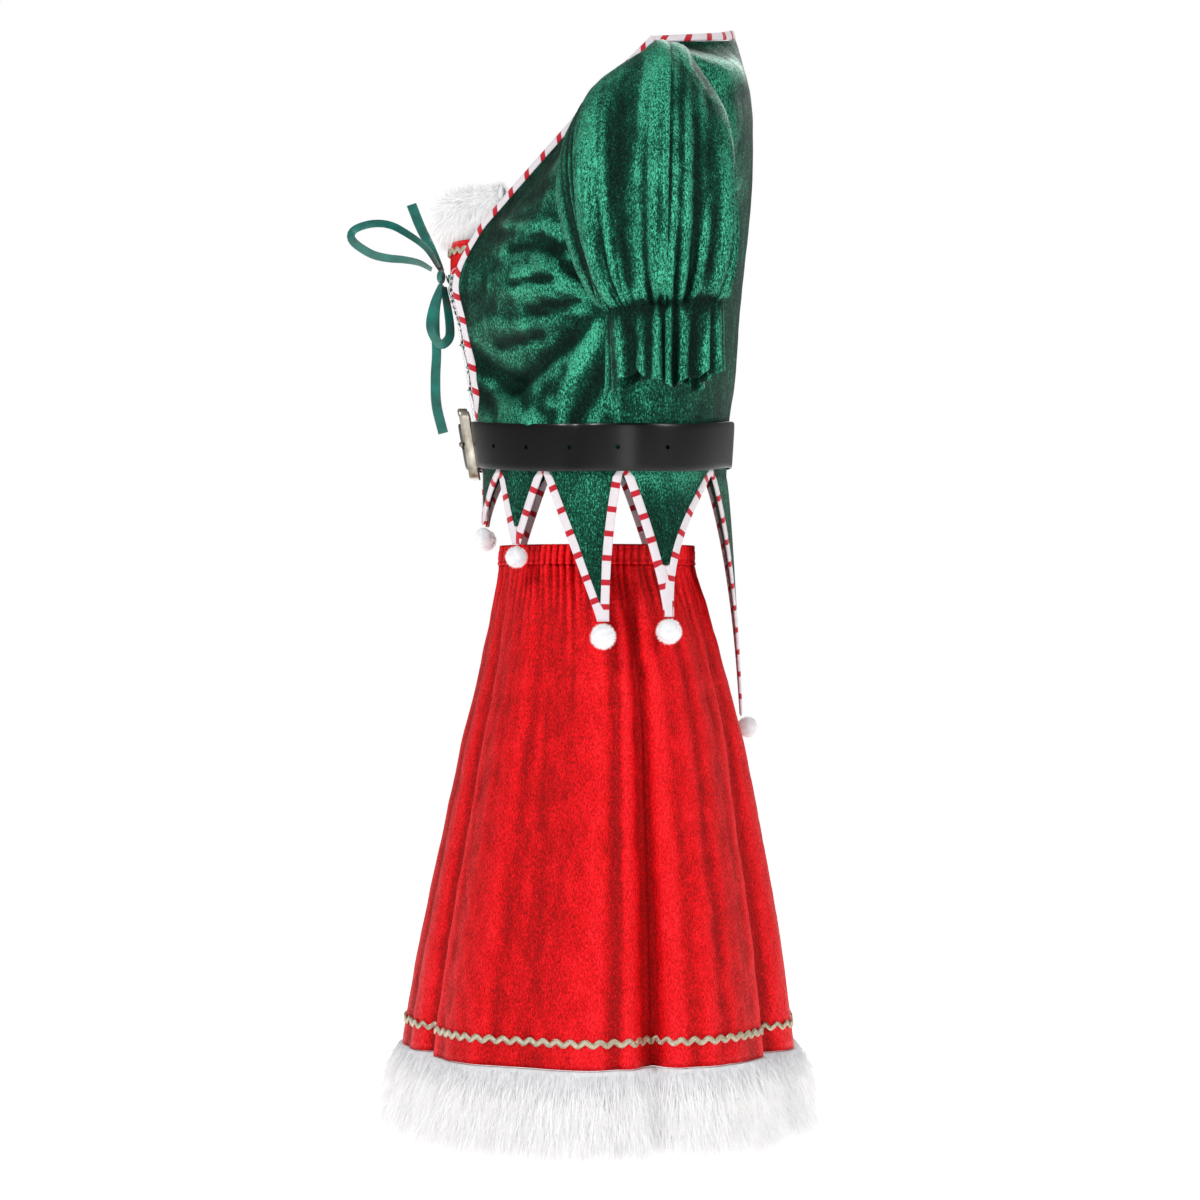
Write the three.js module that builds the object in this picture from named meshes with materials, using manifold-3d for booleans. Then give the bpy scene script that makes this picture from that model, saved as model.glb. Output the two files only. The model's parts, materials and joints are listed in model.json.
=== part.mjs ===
// Elf costume set, worn open and hollow: a laced top with puff sleeves, a belt and a skirt.
// Millimetres, +Z is up, +X is the wearer's left and the front faces -Y.
// The origin is the middle of the shoulder line, where the wearer carries the top.
import * as THREE from 'three';
import Module from 'manifold-3d';

const wasm = await Module();
wasm.setup();

// Cloth, trims and the gap that is left at seams
const velvetThick = 1.6;
const bindingThick = 2.6;
const bindingWide = 8;
const seam = 0.35;
const ribbonWide = 10;
const ribbonThick = 1;
const pompomRadius = 12.3;

// Belt, buckle and where the belt sits
const beltTop = -340.5;
const beltBottom = -381.5;
const beltDip = 7.7;
const leatherThick = 2.6;
const beltGap = 4.4;
const layerStep = 3;
const holeRadius = 1.9;
const buckleHalfWide = 30;
const buckleTop = -328.5;
const buckleBottom = -391;
const buckleBar = 6.5;
const buckleDeep = 8;

// Heights that the pieces share
const hemLine = -381;
const notchLine = -390;
const cuffHeight = -253;
const skirtHem = -896;
const furBottom = -981;

// Half of the front, from the shoulder down. The edge is the front opening, the side is
// first the armhole and then the side seam. Full says how square the row is.
const frontRows = [
  { edgeX: 88, edgeY: -23, edgeZ: -7, sideX: 165, sideY: -8, sideZ: -26, full: 0.3 },
  { edgeX: 80, edgeY: -59, edgeZ: -42, sideX: 152, sideY: -58, sideZ: -52, full: 0.3 },
  { edgeX: 72, edgeY: -92, edgeZ: -77, sideX: 142, sideY: -84, sideZ: -88, full: 0.35 },
  { edgeX: 62, edgeY: -127, edgeZ: -115, sideX: 143, sideY: -94, sideZ: -122, full: 0.42 },
  { edgeX: 53, edgeY: -156, edgeZ: -147, sideX: 155, sideY: -74, sideZ: -150, full: 0.5 },
  { edgeX: 46, edgeY: -179, edgeZ: -175, sideX: 160, sideY: -50, sideZ: -167, full: 0.56 },
  { edgeX: 39, edgeY: -198, edgeZ: -216, sideX: 158, sideY: -50, sideZ: -216, full: 0.6 },
  { edgeX: 38, edgeY: -191, edgeZ: -256, sideX: 153, sideY: -49, sideZ: -256, full: 0.56 },
  { edgeX: 37, edgeY: -183, edgeZ: -300, sideX: 148, sideY: -48, sideZ: -300, full: 0.5 },
  { edgeX: 37, edgeY: -177, edgeZ: -340, sideX: 146, sideY: -48, sideZ: -340, full: 0.48 },
  { edgeX: 37, edgeY: -171, edgeZ: -381, sideX: 145, sideY: -48, sideZ: -381, full: 0.48 },
];

// Half of the back below the neck and shoulder edge: centre back, then armhole or side seam
const backRows = [
  { midY: 60.5, midZ: -22, sideX: 160, sideY: 14, sideZ: -48 },
  { midY: 67, midZ: -50, sideX: 154, sideY: 30, sideZ: -80 },
  { midY: 69, midZ: -85, sideX: 153, sideY: 28, sideZ: -115 },
  { midY: 68.5, midZ: -125, sideX: 157, sideY: 0, sideZ: -149 },
  { midY: 65.5, midZ: -167, sideX: 160, sideY: -50, sideZ: -167 },
  { midY: 60, midZ: -216, sideX: 158, sideY: -50, sideZ: -216 },
  { midY: 56.5, midZ: -256, sideX: 153, sideY: -49, sideZ: -256 },
  { midY: 53.5, midZ: -300, sideX: 148, sideY: -48, sideZ: -300 },
  { midY: 48, midZ: -340, sideX: 146, sideY: -48, sideZ: -340 },
  { midY: 45.5, midZ: -381, sideX: 145, sideY: -48, sideZ: -381 },
];
const backRound = 0.55;

// Neck edge over the shoulder to the nape, and how far the binding there leans outwards
const neckEdge = [
  { x: 88, y: -23, z: -7, steep: 13 },
  { x: 83, y: 12, z: -4.5, steep: 28 },
  { x: 62, y: 37, z: 0.5, steep: 48 },
  { x: 32, y: 49, z: 7.5, steep: 70 },
  { x: 0, y: 52, z: 12, steep: 80 },
];

// Creases of the front, as lines seen from the side: where each runs, how far it stands
// proud or lies deep, and how wide it is
const creases = [
  { fromY: -178, fromZ: -287, toY: -142, toZ: -310, rise: -4.5, wide: 11 },
  { fromY: -142, fromZ: -310, toY: -84, toZ: -266, rise: -4, wide: 12 },
  { fromY: -168, fromZ: -262, toY: -128, toZ: -236, rise: 3, wide: 22 },
  { fromY: -80, fromZ: -243, toY: -116, toZ: -209, rise: 3.2, wide: 7 },
  { fromY: -78, fromZ: -226, toY: -118, toZ: -188, rise: -2.6, wide: 7 },
  { fromY: -153, fromZ: -275, toY: -120, toZ: -270, rise: -1.8, wide: 5 },
  { fromY: -70, fromZ: -269, toY: -106, toZ: -328, rise: 3.4, wide: 8 },
  { fromY: -58, fromZ: -300, toY: -88, toZ: -343, rise: -3, wide: 8 },
];

// Points of the hem on one half, by arc length from the front edge along the waist
const hemPoints = [
  { name: 'front', from: 0, to: 49, tip: 13, tipZ: -433, greenZ: -417,
    frontCurve: 1, backCurve: 1.2, swing: 1, flare: 1.2, columns: 3 },
  { name: 'second', from: 49, to: 105, tip: 77, tipZ: -451, greenZ: -436,
    frontCurve: 1, backCurve: 1.1, swing: 3, flare: 1.2, columns: 4 },
  { name: 'side', from: 105, to: 178, tip: 162, tipZ: -518, greenZ: -503,
    frontCurve: 1.1, backCurve: 2.2, swing: 5, flare: 1.2, columns: 4 },
  { name: 'rear', from: 178, to: 285, tip: 217, tipZ: -514, greenZ: -470,
    frontCurve: 1.4, backCurve: 2.6, swing: 6, flare: 1, columns: 4 },
  { name: 'tail', from: 285, to: 371, tip: 371, tipZ: -604, greenZ: -586,
    frontCurve: 1.3, backCurve: 1, swing: 14, flare: 0.7, columns: 4 },
];
const stubHalf = 5;

// Red panel behind the opening: how far forward its middle stands at each height
const insertRows = [
  { z: -179.1, midY: -201 },
  { z: -200, midY: -201.5 },
  { z: -219, midY: -200 },
  { z: -256, midY: -189 },
  { z: -295, midY: -182 },
  { z: -337, midY: -174 },
  { z: -381, midY: -167 },
];
const insertTuck = 12;
const insertBehind = 3.9;

// Fur along the top of the panel, from the middle to one end
const furRollRows = [
  { x: 0, y: -199, z: -154.5, deep: 21, tall: 25.5 },
  { x: 16, y: -196, z: -153.5, deep: 20, tall: 25.5 },
  { x: 30, y: -185, z: -149, deep: 15, tall: 25 },
  { x: 41, y: -168, z: -145, deep: 10, tall: 20 },
  { x: 48, y: -154, z: -139, deep: 6, tall: 12 },
];

// How each side of the puff sleeve leaves the armhole and comes into the elastic
const sleeveGuides = [
  { reach: 62, leanY: 0, leanZ: 0.42, drop: 52, spread: 0.95 },
  { reach: 52, leanY: -0.55, leanZ: -0.1, drop: 48, spread: 0.95 },
  { reach: 14, leanY: 0, leanZ: -0.5, drop: 26, spread: 0.05 },
  { reach: 42, leanY: 0.32, leanZ: 0, drop: 44, spread: 0.6 },
];
const cuffX = 208;
const cuffY = -13;
const cuffHalfX = 38;
const cuffHalfY = 49;
const sleeveGathers = 16;
const ruffleRows = [
  { drop: seam * 2, wave: 0.9, grow: 0 },
  { drop: 20, wave: 2.6, grow: -2 },
  { drop: 40, wave: 3.6, grow: -3 },
  { drop: 62, wave: 4.4, grow: -2 },
];

// Long folds of the sleeve: place round it from the outside to the front, in turns
const sleeveFolds = [
  { at: 0.02, wide: 0.035, rise: 4.5 },
  { at: 0.09, wide: 0.03, rise: -4 },
  { at: 0.155, wide: 0.035, rise: 4 },
  { at: 0.225, wide: 0.03, rise: -5 },
  { at: 0.29, wide: 0.03, rise: 3.5 },
  { at: 0.8, wide: 0.03, rise: -4 },
  { at: 0.86, wide: 0.035, rise: 3.5 },
  { at: 0.93, wide: 0.03, rise: -3.5 },
];

// Skirt sections from the waistband down to the hem
const skirtRows = [
  { z: -451, frontY: -154, backY: 15, halfX: 116 },
  { z: -468, frontY: -156, backY: 16, halfX: 116 },
  { z: -500, frontY: -162, backY: 27, halfX: 126 },
  { z: -535, frontY: -169, backY: 39, halfX: 135 },
  { z: -571, frontY: -176, backY: 50, halfX: 143 },
  { z: -625, frontY: -189, backY: 63, halfX: 152 },
  { z: -680, frontY: -200, backY: 72, halfX: 160 },
  { z: -770, frontY: -218, backY: 88, halfX: 172 },
  { z: -846, frontY: -232, backY: 99, halfX: 183 },
  { z: -896, frontY: -239.5, backY: 105, halfX: 190 },
  { z: -981, frontY: -247, backY: 112, halfX: 196 },
];
// Folds of the skirt by their angle from the front: depth at the hem and at the top
const skirtFolds = [
  { angle: 0, wide: 13, hem: 5, top: 0 },
  { angle: 28, wide: 8, hem: -11, top: -1 },
  { angle: 50, wide: 13, hem: 4, top: 1 },
  { angle: 66, wide: 8, hem: -4, top: -2 },
  { angle: 86, wide: 9, hem: 5, top: 2 },
  { angle: 107, wide: 8, hem: -13, top: -3 },
  { angle: 126, wide: 9, hem: 6, top: 1 },
  { angle: 151, wide: 7, hem: -12, top: -1 },
  { angle: 166, wide: 7, hem: 4, top: 1 },
];
const tailDent = { from: -470, full: -585, to: -690, deep: 10, wide: 13 };
const skirtGathers = 72;

// One value of a table at any place between its rows
function pick(rows, key, at) {
  const last = rows.length - 1;
  const i = Math.min(Math.max(Math.floor(at), 0), last - 1);
  const t = at - i;
  const p1 = rows[i][key];
  const p2 = rows[i + 1][key];
  if (at < 0 || at > last) {
    return p1 + (p2 - p1) * t;
  }
  const p0 = i > 0 ? rows[i - 1][key] : 2 * p1 - p2;
  const p3 = i + 2 <= last ? rows[i + 2][key] : 2 * p2 - p1;
  const square = 2 * p0 - 5 * p1 + 4 * p2 - p3;
  const cube = 3 * p1 - p0 - 3 * p2 + p3;
  return 0.5 * (2 * p1 + (p2 - p0) * t + square * t * t + cube * t * t * t);
}

// Place in a table whose named column falls steadily, such as a height
function placeOf(rows, key, value) {
  let i = 0;
  while (i < rows.length - 2 && value < rows[i + 1][key]) {
    i += 1;
  }
  return i + (value - rows[i][key]) / (rows[i + 1][key] - rows[i][key]);
}

function vec(x, y, z) {
  return new THREE.Vector3(x, y, z);
}

function smooth(from, to, value) {
  const t = Math.min(Math.max((value - from) / (to - from), 0), 1);
  return t * t * (3 - 2 * t);
}

function bell(distance, wide) {
  return Math.exp(-(distance * distance) / (wide * wide));
}

function bezier(a, b, c, d, count) {
  return new THREE.CubicBezierCurve3(a, b, c, d).getPoints(count);
}

// Distances along a line of points, and the point at one distance
function measure(line) {
  const sums = [0];
  for (let i = 1; i < line.length; i += 1) {
    sums.push(sums[i - 1] + line[i].distanceTo(line[i - 1]));
  }
  return sums;
}

function pointAt(line, sums, distance) {
  let i = 1;
  while (i < line.length - 1 && sums[i] < distance) {
    i += 1;
  }
  const t = (distance - sums[i - 1]) / (sums[i] - sums[i - 1]);
  return line[i - 1].clone().lerp(line[i], t);
}

function spaced(line, count, skipStart = 0, skipEnd = 0) {
  const sums = measure(line);
  const reach = sums[sums.length - 1] - skipStart - skipEnd;
  const out = [];
  for (let i = 0; i <= count; i += 1) {
    out.push(pointAt(line, sums, skipStart + (reach * i) / count));
  }
  return out;
}

// A sheet of shared points that is thickened into a closed wall of cloth
class Sheet {
  constructor() {
    this.points = [];
    this.faces = [];
    this.known = new Map();
  }

  add(p) {
    const key = [p.x, p.y, p.z].map((n) => Math.round(n * 500)).join(' ');
    if (!this.known.has(key)) {
      this.known.set(key, this.points.length);
      this.points.push(p.clone());
    }
    return this.known.get(key);
  }

  face(a, b, c) {
    if (a !== b && b !== c && c !== a) {
      this.faces.push([a, b, c]);
    }
  }

  // Two neighbouring rows of points, the second as fine as the first or coarser
  strip(first, second) {
    const a = first.map((p) => this.add(p));
    const b = second.map((p) => this.add(p));
    const ratio = (a.length - 1) / (b.length - 1);
    for (let j = 0; j < b.length - 1; j += 1) {
      const start = j * ratio;
      const half = Math.ceil(ratio / 2);
      for (let k = 0; k < ratio; k += 1) {
        const low = k < half ? b[j] : b[j + 1];
        this.face(a[start + k], low, a[start + k + 1]);
        if (k === half - 1) {
          this.face(a[start + k + 1], b[j], b[j + 1]);
        }
      }
    }
  }

  rows(list) {
    for (let i = 1; i < list.length; i += 1) {
      if (list[i].length > list[i - 1].length) {
        this.strip([...list[i]].reverse(), [...list[i - 1]].reverse());
      } else {
        this.strip(list[i - 1], list[i]);
      }
    }
    return this;
  }

  wall(thick) {
    const normals = this.points.map(() => vec(0, 0, 0));
    for (const [a, b, c] of this.faces) {
      const ab = this.points[b].clone().sub(this.points[a]);
      const ac = this.points[c].clone().sub(this.points[a]);
      const n = ab.cross(ac);
      for (const i of [a, b, c]) {
        normals[i].add(n);
      }
    }
    const count = this.points.length;
    const corners = [];
    for (const side of [0.5, -0.5]) {
      this.points.forEach((p, i) => {
        const out = normals[i].clone().normalize().multiplyScalar(thick * side);
        corners.push(p.clone().add(out));
      });
    }
    const faces = [];
    const edges = new Set();
    for (const [a, b, c] of this.faces) {
      faces.push([a, b, c], [a + count, c + count, b + count]);
      edges.add(`${a} ${b}`).add(`${b} ${c}`).add(`${c} ${a}`);
    }
    for (const edge of edges) {
      const [a, b] = edge.split(' ').map(Number);
      if (!edges.has(`${b} ${a}`)) {
        faces.push([b, a, a + count], [b, a + count, b + count]);
      }
    }
    return closedShape(corners, faces);
  }
}

// A closed body from its corners and faces, turned to face out
function closedShape(corners, faces) {
  let volume = 0;
  for (const [a, b, c] of faces) {
    volume += corners[a].dot(corners[b].clone().cross(corners[c]));
  }
  const turned = volume < 0 ? faces.map(([a, b, c]) => [a, c, b]) : faces;
  const shape = new THREE.BufferGeometry();
  const flat = corners.flatMap((p) => [p.x, p.y, p.z]);
  shape.setAttribute('position', new THREE.Float32BufferAttribute(flat, 3));
  shape.setIndex(turned.flat());
  return shape;
}

// A body from rings of points, with flat ends or closed on itself
function ringBody(rings, closed = false) {
  const size = rings[0].length;
  const corners = rings.flat();
  const faces = [];
  const last = closed ? rings.length : rings.length - 1;
  for (let i = 0; i < last; i += 1) {
    const here = i * size;
    const next = ((i + 1) % rings.length) * size;
    for (let j = 0; j < size; j += 1) {
      const k = (j + 1) % size;
      faces.push([here + j, here + k, next + k], [here + j, next + k, next + j]);
    }
  }
  if (!closed) {
    const end = (rings.length - 1) * size;
    for (let j = 1; j < size - 1; j += 1) {
      faces.push([0, j + 1, j], [end, end + j, end + j + 1]);
    }
  }
  return closedShape(corners, faces);
}

function mirrored(shape) {
  const place = shape.getAttribute('position');
  const corners = [];
  for (let i = 0; i < place.count; i += 1) {
    corners.push(vec(-place.getX(i), place.getY(i), place.getZ(i)));
  }
  const index = shape.getIndex().array;
  const faces = [];
  for (let i = 0; i < index.length; i += 3) {
    faces.push([index[i], index[i + 2], index[i + 1]]);
  }
  return closedShape(corners, faces);
}

function flipX(line) {
  return line.map((p) => vec(-p.x, p.y, p.z));
}

// Cloth of the front: one row from the opening to the side
function creaseRise(y, z) {
  let rise = 0;
  for (const c of creases) {
    const dy = c.toY - c.fromY;
    const dz = c.toZ - c.fromZ;
    const along = ((y - c.fromY) * dy + (z - c.fromZ) * dz) / (dy * dy + dz * dz);
    const t = Math.min(Math.max(along, 0), 1);
    const off = Math.hypot(y - c.fromY - t * dy, z - c.fromZ - t * dz);
    rise += c.rise * bell(off, c.wide);
  }
  return rise;
}

function frontRow(v) {
  const get = (key) => pick(frontRows, key, v);
  const edge = vec(get('edgeX'), get('edgeY'), get('edgeZ'));
  const side = vec(get('sideX'), get('sideY'), get('sideZ'));
  const full = get('full');
  const third = edge.clone().lerp(side, 0.33);
  const rest = edge.clone().lerp(side, 0.67);
  const a = vec(edge.x + full * (side.x - edge.x), edge.y, third.z);
  const b = vec(side.x, side.y - full * (side.y - edge.y), rest.z);
  const line = bezier(edge, a, b, side, 32);
  return line.map((p, i) => {
    const hold = smooth(0, 0.2, i / 32) * smooth(1, 0.85, i / 32);
    const out = vec(p.x, p.y + 60, 0).normalize().multiplyScalar(creaseRise(p.y, p.z) * hold);
    return p.add(out);
  });
}

// Neck edge and the line a little way down the back from it
function neckLine(down, count) {
  const line = [];
  for (let i = 0; i <= count; i += 1) {
    const at = (i / count) * (neckEdge.length - 1);
    const here = vec(pick(neckEdge, 'x', at), pick(neckEdge, 'y', at), pick(neckEdge, 'z', at));
    const ahead = vec(pick(neckEdge, 'x', at + 0.01), pick(neckEdge, 'y', at + 0.01), 0);
    const flow = ahead.sub(vec(here.x, here.y, 0)).normalize();
    const steep = THREE.MathUtils.degToRad(pick(neckEdge, 'steep', at));
    const out = vec(flow.y, -flow.x, 0).multiplyScalar(Math.cos(steep));
    if (i === count) {
      out.set(0, Math.cos(steep), 0);
    }
    out.z = -Math.sin(steep);
    line.push(here.addScaledVector(out, down));
  }
  return line;
}

// Cloth of the back: rows from the side to the centre back, the first one over the shoulder
function backTop() {
  const shoulder = frontRow(0);
  const neck = neckLine(bindingWide + seam * 4, 16);
  const part = spaced(shoulder, 12, bindingWide + seam * 3, 0).reverse();
  return [...part, ...neck.slice(1)];
}

function backCurve(row) {
  const side = vec(row.sideX, row.sideY, row.sideZ);
  const mid = vec(0, row.midY, row.midZ);
  const a = vec(side.x, side.y + backRound * (mid.y - side.y), side.z * 0.67 + mid.z * 0.33);
  const b = vec(backRound * side.x, mid.y, side.z * 0.33 + mid.z * 0.67);
  return bezier(side, a, b, mid, 32);
}

const backLines = [backTop(), ...backRows.map(backCurve)].map((line) => spaced(line, 32));

function backRow(v) {
  const line = [];
  for (let i = 0; i <= 32; i += 1) {
    const rows = backLines.map((row) => row[i]);
    line.push(vec(pick(rows, 'x', v), pick(rows, 'y', v), pick(rows, 'z', v)));
  }
  if (v < 5) {
    return line;
  }
  const shift = frontRow(v)[32].sub(line[0]);
  return line.map((p, i) => p.addScaledVector(shift, Math.pow(1 - i / 32, 3)));
}

// The waist from the front edge round one half, with the way out at each place
const waistLine = [...frontRow(10), ...backRow(10).slice(1)];
const waistSums = measure(waistLine);
const waistSide = measure(frontRow(10))[32];
const waistWhole = waistSums[waistSums.length - 1];

function waistAt(arc) {
  const reach = Math.min(Math.max(arc, 0), waistWhole);
  const here = pointAt(waistLine, waistSums, reach);
  const from = pointAt(waistLine, waistSums, Math.max(reach - 6, 0));
  const to = pointAt(waistLine, waistSums, Math.min(reach + 6, waistWhole));
  const flow = to.sub(from).normalize();
  const out = vec(-flow.y, flow.x, 0).multiplyScalar(-1);
  if (reach > waistWhole - 0.01) {
    out.set(0, 1, 0);
  }
  return { here, out };
}

// A place on a hem point: arc along the waist and height below the hem line
function hemPlace(arc, z, point) {
  const { here, out } = waistAt(arc);
  const t = Math.max((notchLine - z) / (notchLine - point.tipZ), 0);
  const swing = point.swing * Math.pow(t, point.flare);
  return vec(here.x, here.y, z).addScaledVector(out, swing);
}

// Both edges of a hem point at one height, outer ones and inner ones beside the binding
function hemEdges(point, z) {
  const t = Math.min(Math.max((notchLine - z) / (notchLine - point.tipZ), 0), 1);
  const tall = notchLine - point.tipZ;
  const last = point.name === 'tail' ? 0 : stubHalf;
  const edge = (start, end, power) => {
    const arc = start + (end - start) * (1 - Math.pow(1 - t, power));
    const slope = ((end - start) / tall) * power * Math.pow(1 - t, power - 1);
    return { arc, inside: bindingWide * Math.sqrt(1 + slope * slope) };
  };
  const front = edge(point.from, point.tip - stubHalf, point.frontCurve);
  const back = edge(point.to, point.tip + last, point.backCurve);
  const middle = point.name === 'tail' ? waistWhole : (front.arc + back.arc) / 2;
  const least = 0.2 * Math.max(z - point.greenZ, 0);
  let innerFront = Math.min(front.arc + front.inside, middle - least);
  let innerBack = Math.max(back.arc - back.inside, middle + least);
  if (z <= point.greenZ) {
    innerFront = middle;
    innerBack = middle;
  }
  return { front, back, innerFront, innerBack };
}

const side = waistSide;
hemPoints[2].to = side;
hemPoints[3].from = side;
hemPoints[4].to = waistWhole;
hemPoints[4].tip = waistWhole;

// Heights of the rows of a hem point, first through the green cloth and then below it
function hemLevels(point) {
  const green = [];
  for (let i = 0; i <= 3; i += 1) {
    green.push(THREE.MathUtils.lerp(notchLine - 4, point.greenZ + 5.5, i / 3));
  }
  return { green, stub: [point.greenZ, point.tipZ] };
}

function greenRows(point) {
  const rows = [];
  for (const z of hemLevels(point).green) {
    const edges = hemEdges(point, z);
    const a = edges.innerFront + seam;
    const b = point.name === 'tail' ? waistWhole : edges.innerBack - seam;
    const row = [];
    for (let i = 0; i <= point.columns; i += 1) {
      row.push(hemPlace(a + ((b - a) * i) / point.columns, z, point));
    }
    rows.push(row);
  }
  return rows;
}

// Binding down one edge of a point: rows of an inner and an outer place
function bandRows(point, onFront) {
  const start = onFront ? point.from : point.to;
  const rows = [];
  if (point.name === 'front' && onFront) {
    rows.push([hemPlace(bindingWide, hemLine - seam, point), hemPlace(0, hemLine - seam, point)]);
  } else {
    rows.push([hemPlace(start, hemLine - seam, point), hemPlace(start, notchLine, point)]);
  }
  const levels = hemLevels(point);
  for (const z of [...levels.green, ...levels.stub]) {
    const edges = hemEdges(point, z);
    const inner = onFront ? edges.innerFront : edges.innerBack;
    const outer = onFront ? edges.front.arc : edges.back.arc;
    rows.push([hemPlace(inner, z, point), hemPlace(outer, z, point)]);
  }
  return rows;
}

// Panels of the top
function hemColumns(points, from) {
  const arcs = [];
  points.forEach((point, n) => {
    for (let i = n ? 1 : 0; i <= point.columns; i += 1) {
      arcs.push(THREE.MathUtils.lerp(Math.max(point.from, from), point.to, i / point.columns));
    }
  });
  return arcs;
}

const frontLevels = [0.03, 1, 2, 3, 3.8, 4.4, 5, 5.6, 6.2, 6.8, 7.6, 8.4, 9.2, 10];
const backLevels = [0.04, 0.5, 1, 1.8, 2.6, 3.5, 4.3, 5, 5.6, 6.2, 6.8, 7.6, 8.4, 9.2, 10];
const frontSkip = bindingWide + seam;
const sideSkip = 0.25;

function frontPanel() {
  const sheet = new Sheet();
  const points = hemPoints.slice(0, 3);
  const arcs = hemColumns(points, frontSkip);
  const parts = arcs.map((arc) => (arc - frontSkip) / (waistSide - frontSkip));
  const rows = frontLevels.map((v) => {
    const line = frontRow(v);
    const sums = measure(line);
    const reach = sums[32] - frontSkip - sideSkip;
    return parts.map((part) => pointAt(line, sums, frontSkip + part * reach));
  });
  sheet.rows(rows);
  let start = 0;
  for (const point of points) {
    const top = rows[rows.length - 1].slice(start, start + point.columns + 1);
    sheet.rows([top, ...greenRows(point)]);
    start += point.columns;
  }
  return sheet.wall(velvetThick);
}

function backPanel() {
  const sheet = new Sheet();
  const points = hemPoints.slice(3);
  const arcs = hemColumns(points, waistSide);
  const parts = arcs.map((arc) => (arc - waistSide) / (waistWhole - waistSide));
  const rows = backLevels.map((v) => {
    const line = backRow(v);
    const sums = measure(line);
    const reach = sums[32] - sideSkip;
    return parts.map((part) => pointAt(line, sums, sideSkip + part * reach));
  });
  const lists = [rows];
  let start = 0;
  for (const point of points) {
    const top = rows[rows.length - 1].slice(start, start + point.columns + 1);
    lists.push([top, ...greenRows(point)]);
    start += point.columns;
  }
  for (const list of lists) {
    sheet.rows(list);
    sheet.rows(list.map((row) => flipX(row).reverse()));
  }
  return sheet.wall(velvetThick);
}

function neckBinding() {
  const half = [];
  const levels = [10, 9.3, 8.5, 7.7, 7, 6.4, 6, 5.6, 5.1, 4.6, 4, 3.4, 2.8, 2.1, 1.4, 0.7, 0];
  for (const v of levels) {
    const line = frontRow(v);
    const sums = measure(line);
    const inner = pointAt(line, sums, bindingWide);
    half.push([inner, pointAt(line, sums, bindingWide / 2), line[0]]);
  }
  const outer = neckLine(0, 8);
  const inner = neckLine(bindingWide, 8);
  for (let i = 1; i <= 8; i += 1) {
    half.push([inner[i], inner[i].clone().lerp(outer[i], 0.5), outer[i]]);
  }
  const other = half.slice(0, -1).map(flipX).reverse();
  return new Sheet().rows([...half, ...other]).wall(bindingThick);
}

function hemBinding() {
  const sheet = new Sheet();
  for (const point of hemPoints) {
    const bands = [bandRows(point, true)];
    if (point.name !== 'tail') {
      bands.push(bandRows(point, false).map((row) => [...row].reverse()));
    }
    for (const rows of bands) {
      sheet.rows(rows);
      sheet.rows(rows.map((row) => flipX(row).reverse()));
    }
  }
  return sheet.wall(bindingThick);
}

// Puff sleeve from the armhole to the elastic, and the ruffle below it
function armhole(count) {
  const front = [];
  for (let v = 0; v <= 5; v += 0.25) {
    front.push(frontRow(v)[32]);
  }
  const back = [];
  for (let v = 4.75; v >= 0; v -= 0.25) {
    back.push(backRow(v)[0]);
  }
  return spaced([...front, ...back], count);
}

function guide(key, turn) {
  const place = (((turn % 1) + 1) % 1) * 4;
  const i = Math.floor(place);
  const t = smooth(0, 1, place - i);
  return THREE.MathUtils.lerp(sleeveGuides[i][key], sleeveGuides[(i + 1) % 4][key], t);
}

function sleeveFold(turn) {
  let rise = 0;
  for (const fold of sleeveFolds) {
    const off = Math.abs(((turn - fold.at + 1.5) % 1) - 0.5);
    rise += fold.rise * bell(off, fold.wide);
  }
  return rise;
}

function cuffPoint(turn, drop, grow, wave) {
  const a = turn * 2 * Math.PI;
  const out = vec(Math.cos(a), -Math.sin(a), 0);
  const gather = wave * Math.cos(turn * sleeveGathers * 2 * Math.PI);
  const tilt = 5 * Math.sin(a);
  const hang = (drop / 62) * (6 * Math.cos(a * 3 + 1) + 3 * Math.cos(a * 5));
  const mid = vec(cuffX, cuffY, cuffHeight - tilt - drop - hang);
  mid.x += out.x * (cuffHalfX + grow + gather);
  mid.y += out.y * (cuffHalfY + grow + gather);
  return mid;
}

function turnRing(count, make) {
  const row = [];
  for (let i = 0; i <= count; i += 1) {
    row.push(make((i % count) / count));
  }
  return row;
}

function sleeve() {
  const fine = sleeveGathers * 3;
  const coarse = fine / 2;
  const hole = armhole(fine);
  const place = (turn, t) => {
    const start = hole[Math.round(turn * fine)].clone();
    start.x += 1.7;
    const end = cuffPoint(turn, 0, 0, 0);
    const a = turn * 2 * Math.PI;
    const lean = vec(1, guide('leanY', turn), guide('leanZ', turn)).normalize();
    const b = start.clone().addScaledVector(lean, guide('reach', turn));
    const spread = guide('spread', turn);
    const rise = vec(Math.cos(a) * spread, -Math.sin(a) * spread, 1);
    const c = end.clone().addScaledVector(rise, guide('drop', turn));
    const p = new THREE.CubicBezierCurve3(start, b, c, end).getPoint(t);
    const out = vec(p.x - 190, p.y - cuffY, (p.z + 140) * 0.2).normalize();
    const hold = smooth(0, 0.3, t) * smooth(1, 0.8, t);
    const gather = 1.6 * smooth(0.7, 0.95, t) * Math.cos(turn * sleeveGathers * 2 * Math.PI);
    return p.addScaledVector(out, sleeveFold(turn) * hold + gather);
  };
  const rows = [];
  for (const t of [0, 0.1, 0.22, 0.36, 0.5, 0.64, 0.77, 0.88]) {
    rows.push(turnRing(coarse, (turn) => place(turn, t)));
  }
  rows.push(turnRing(fine, (turn) => place(turn, 0.96)));
  rows.push(turnRing(fine, (turn) => cuffPoint(turn, 0, 0, 0.9)));
  return new Sheet().rows(rows).wall(velvetThick);
}

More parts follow.
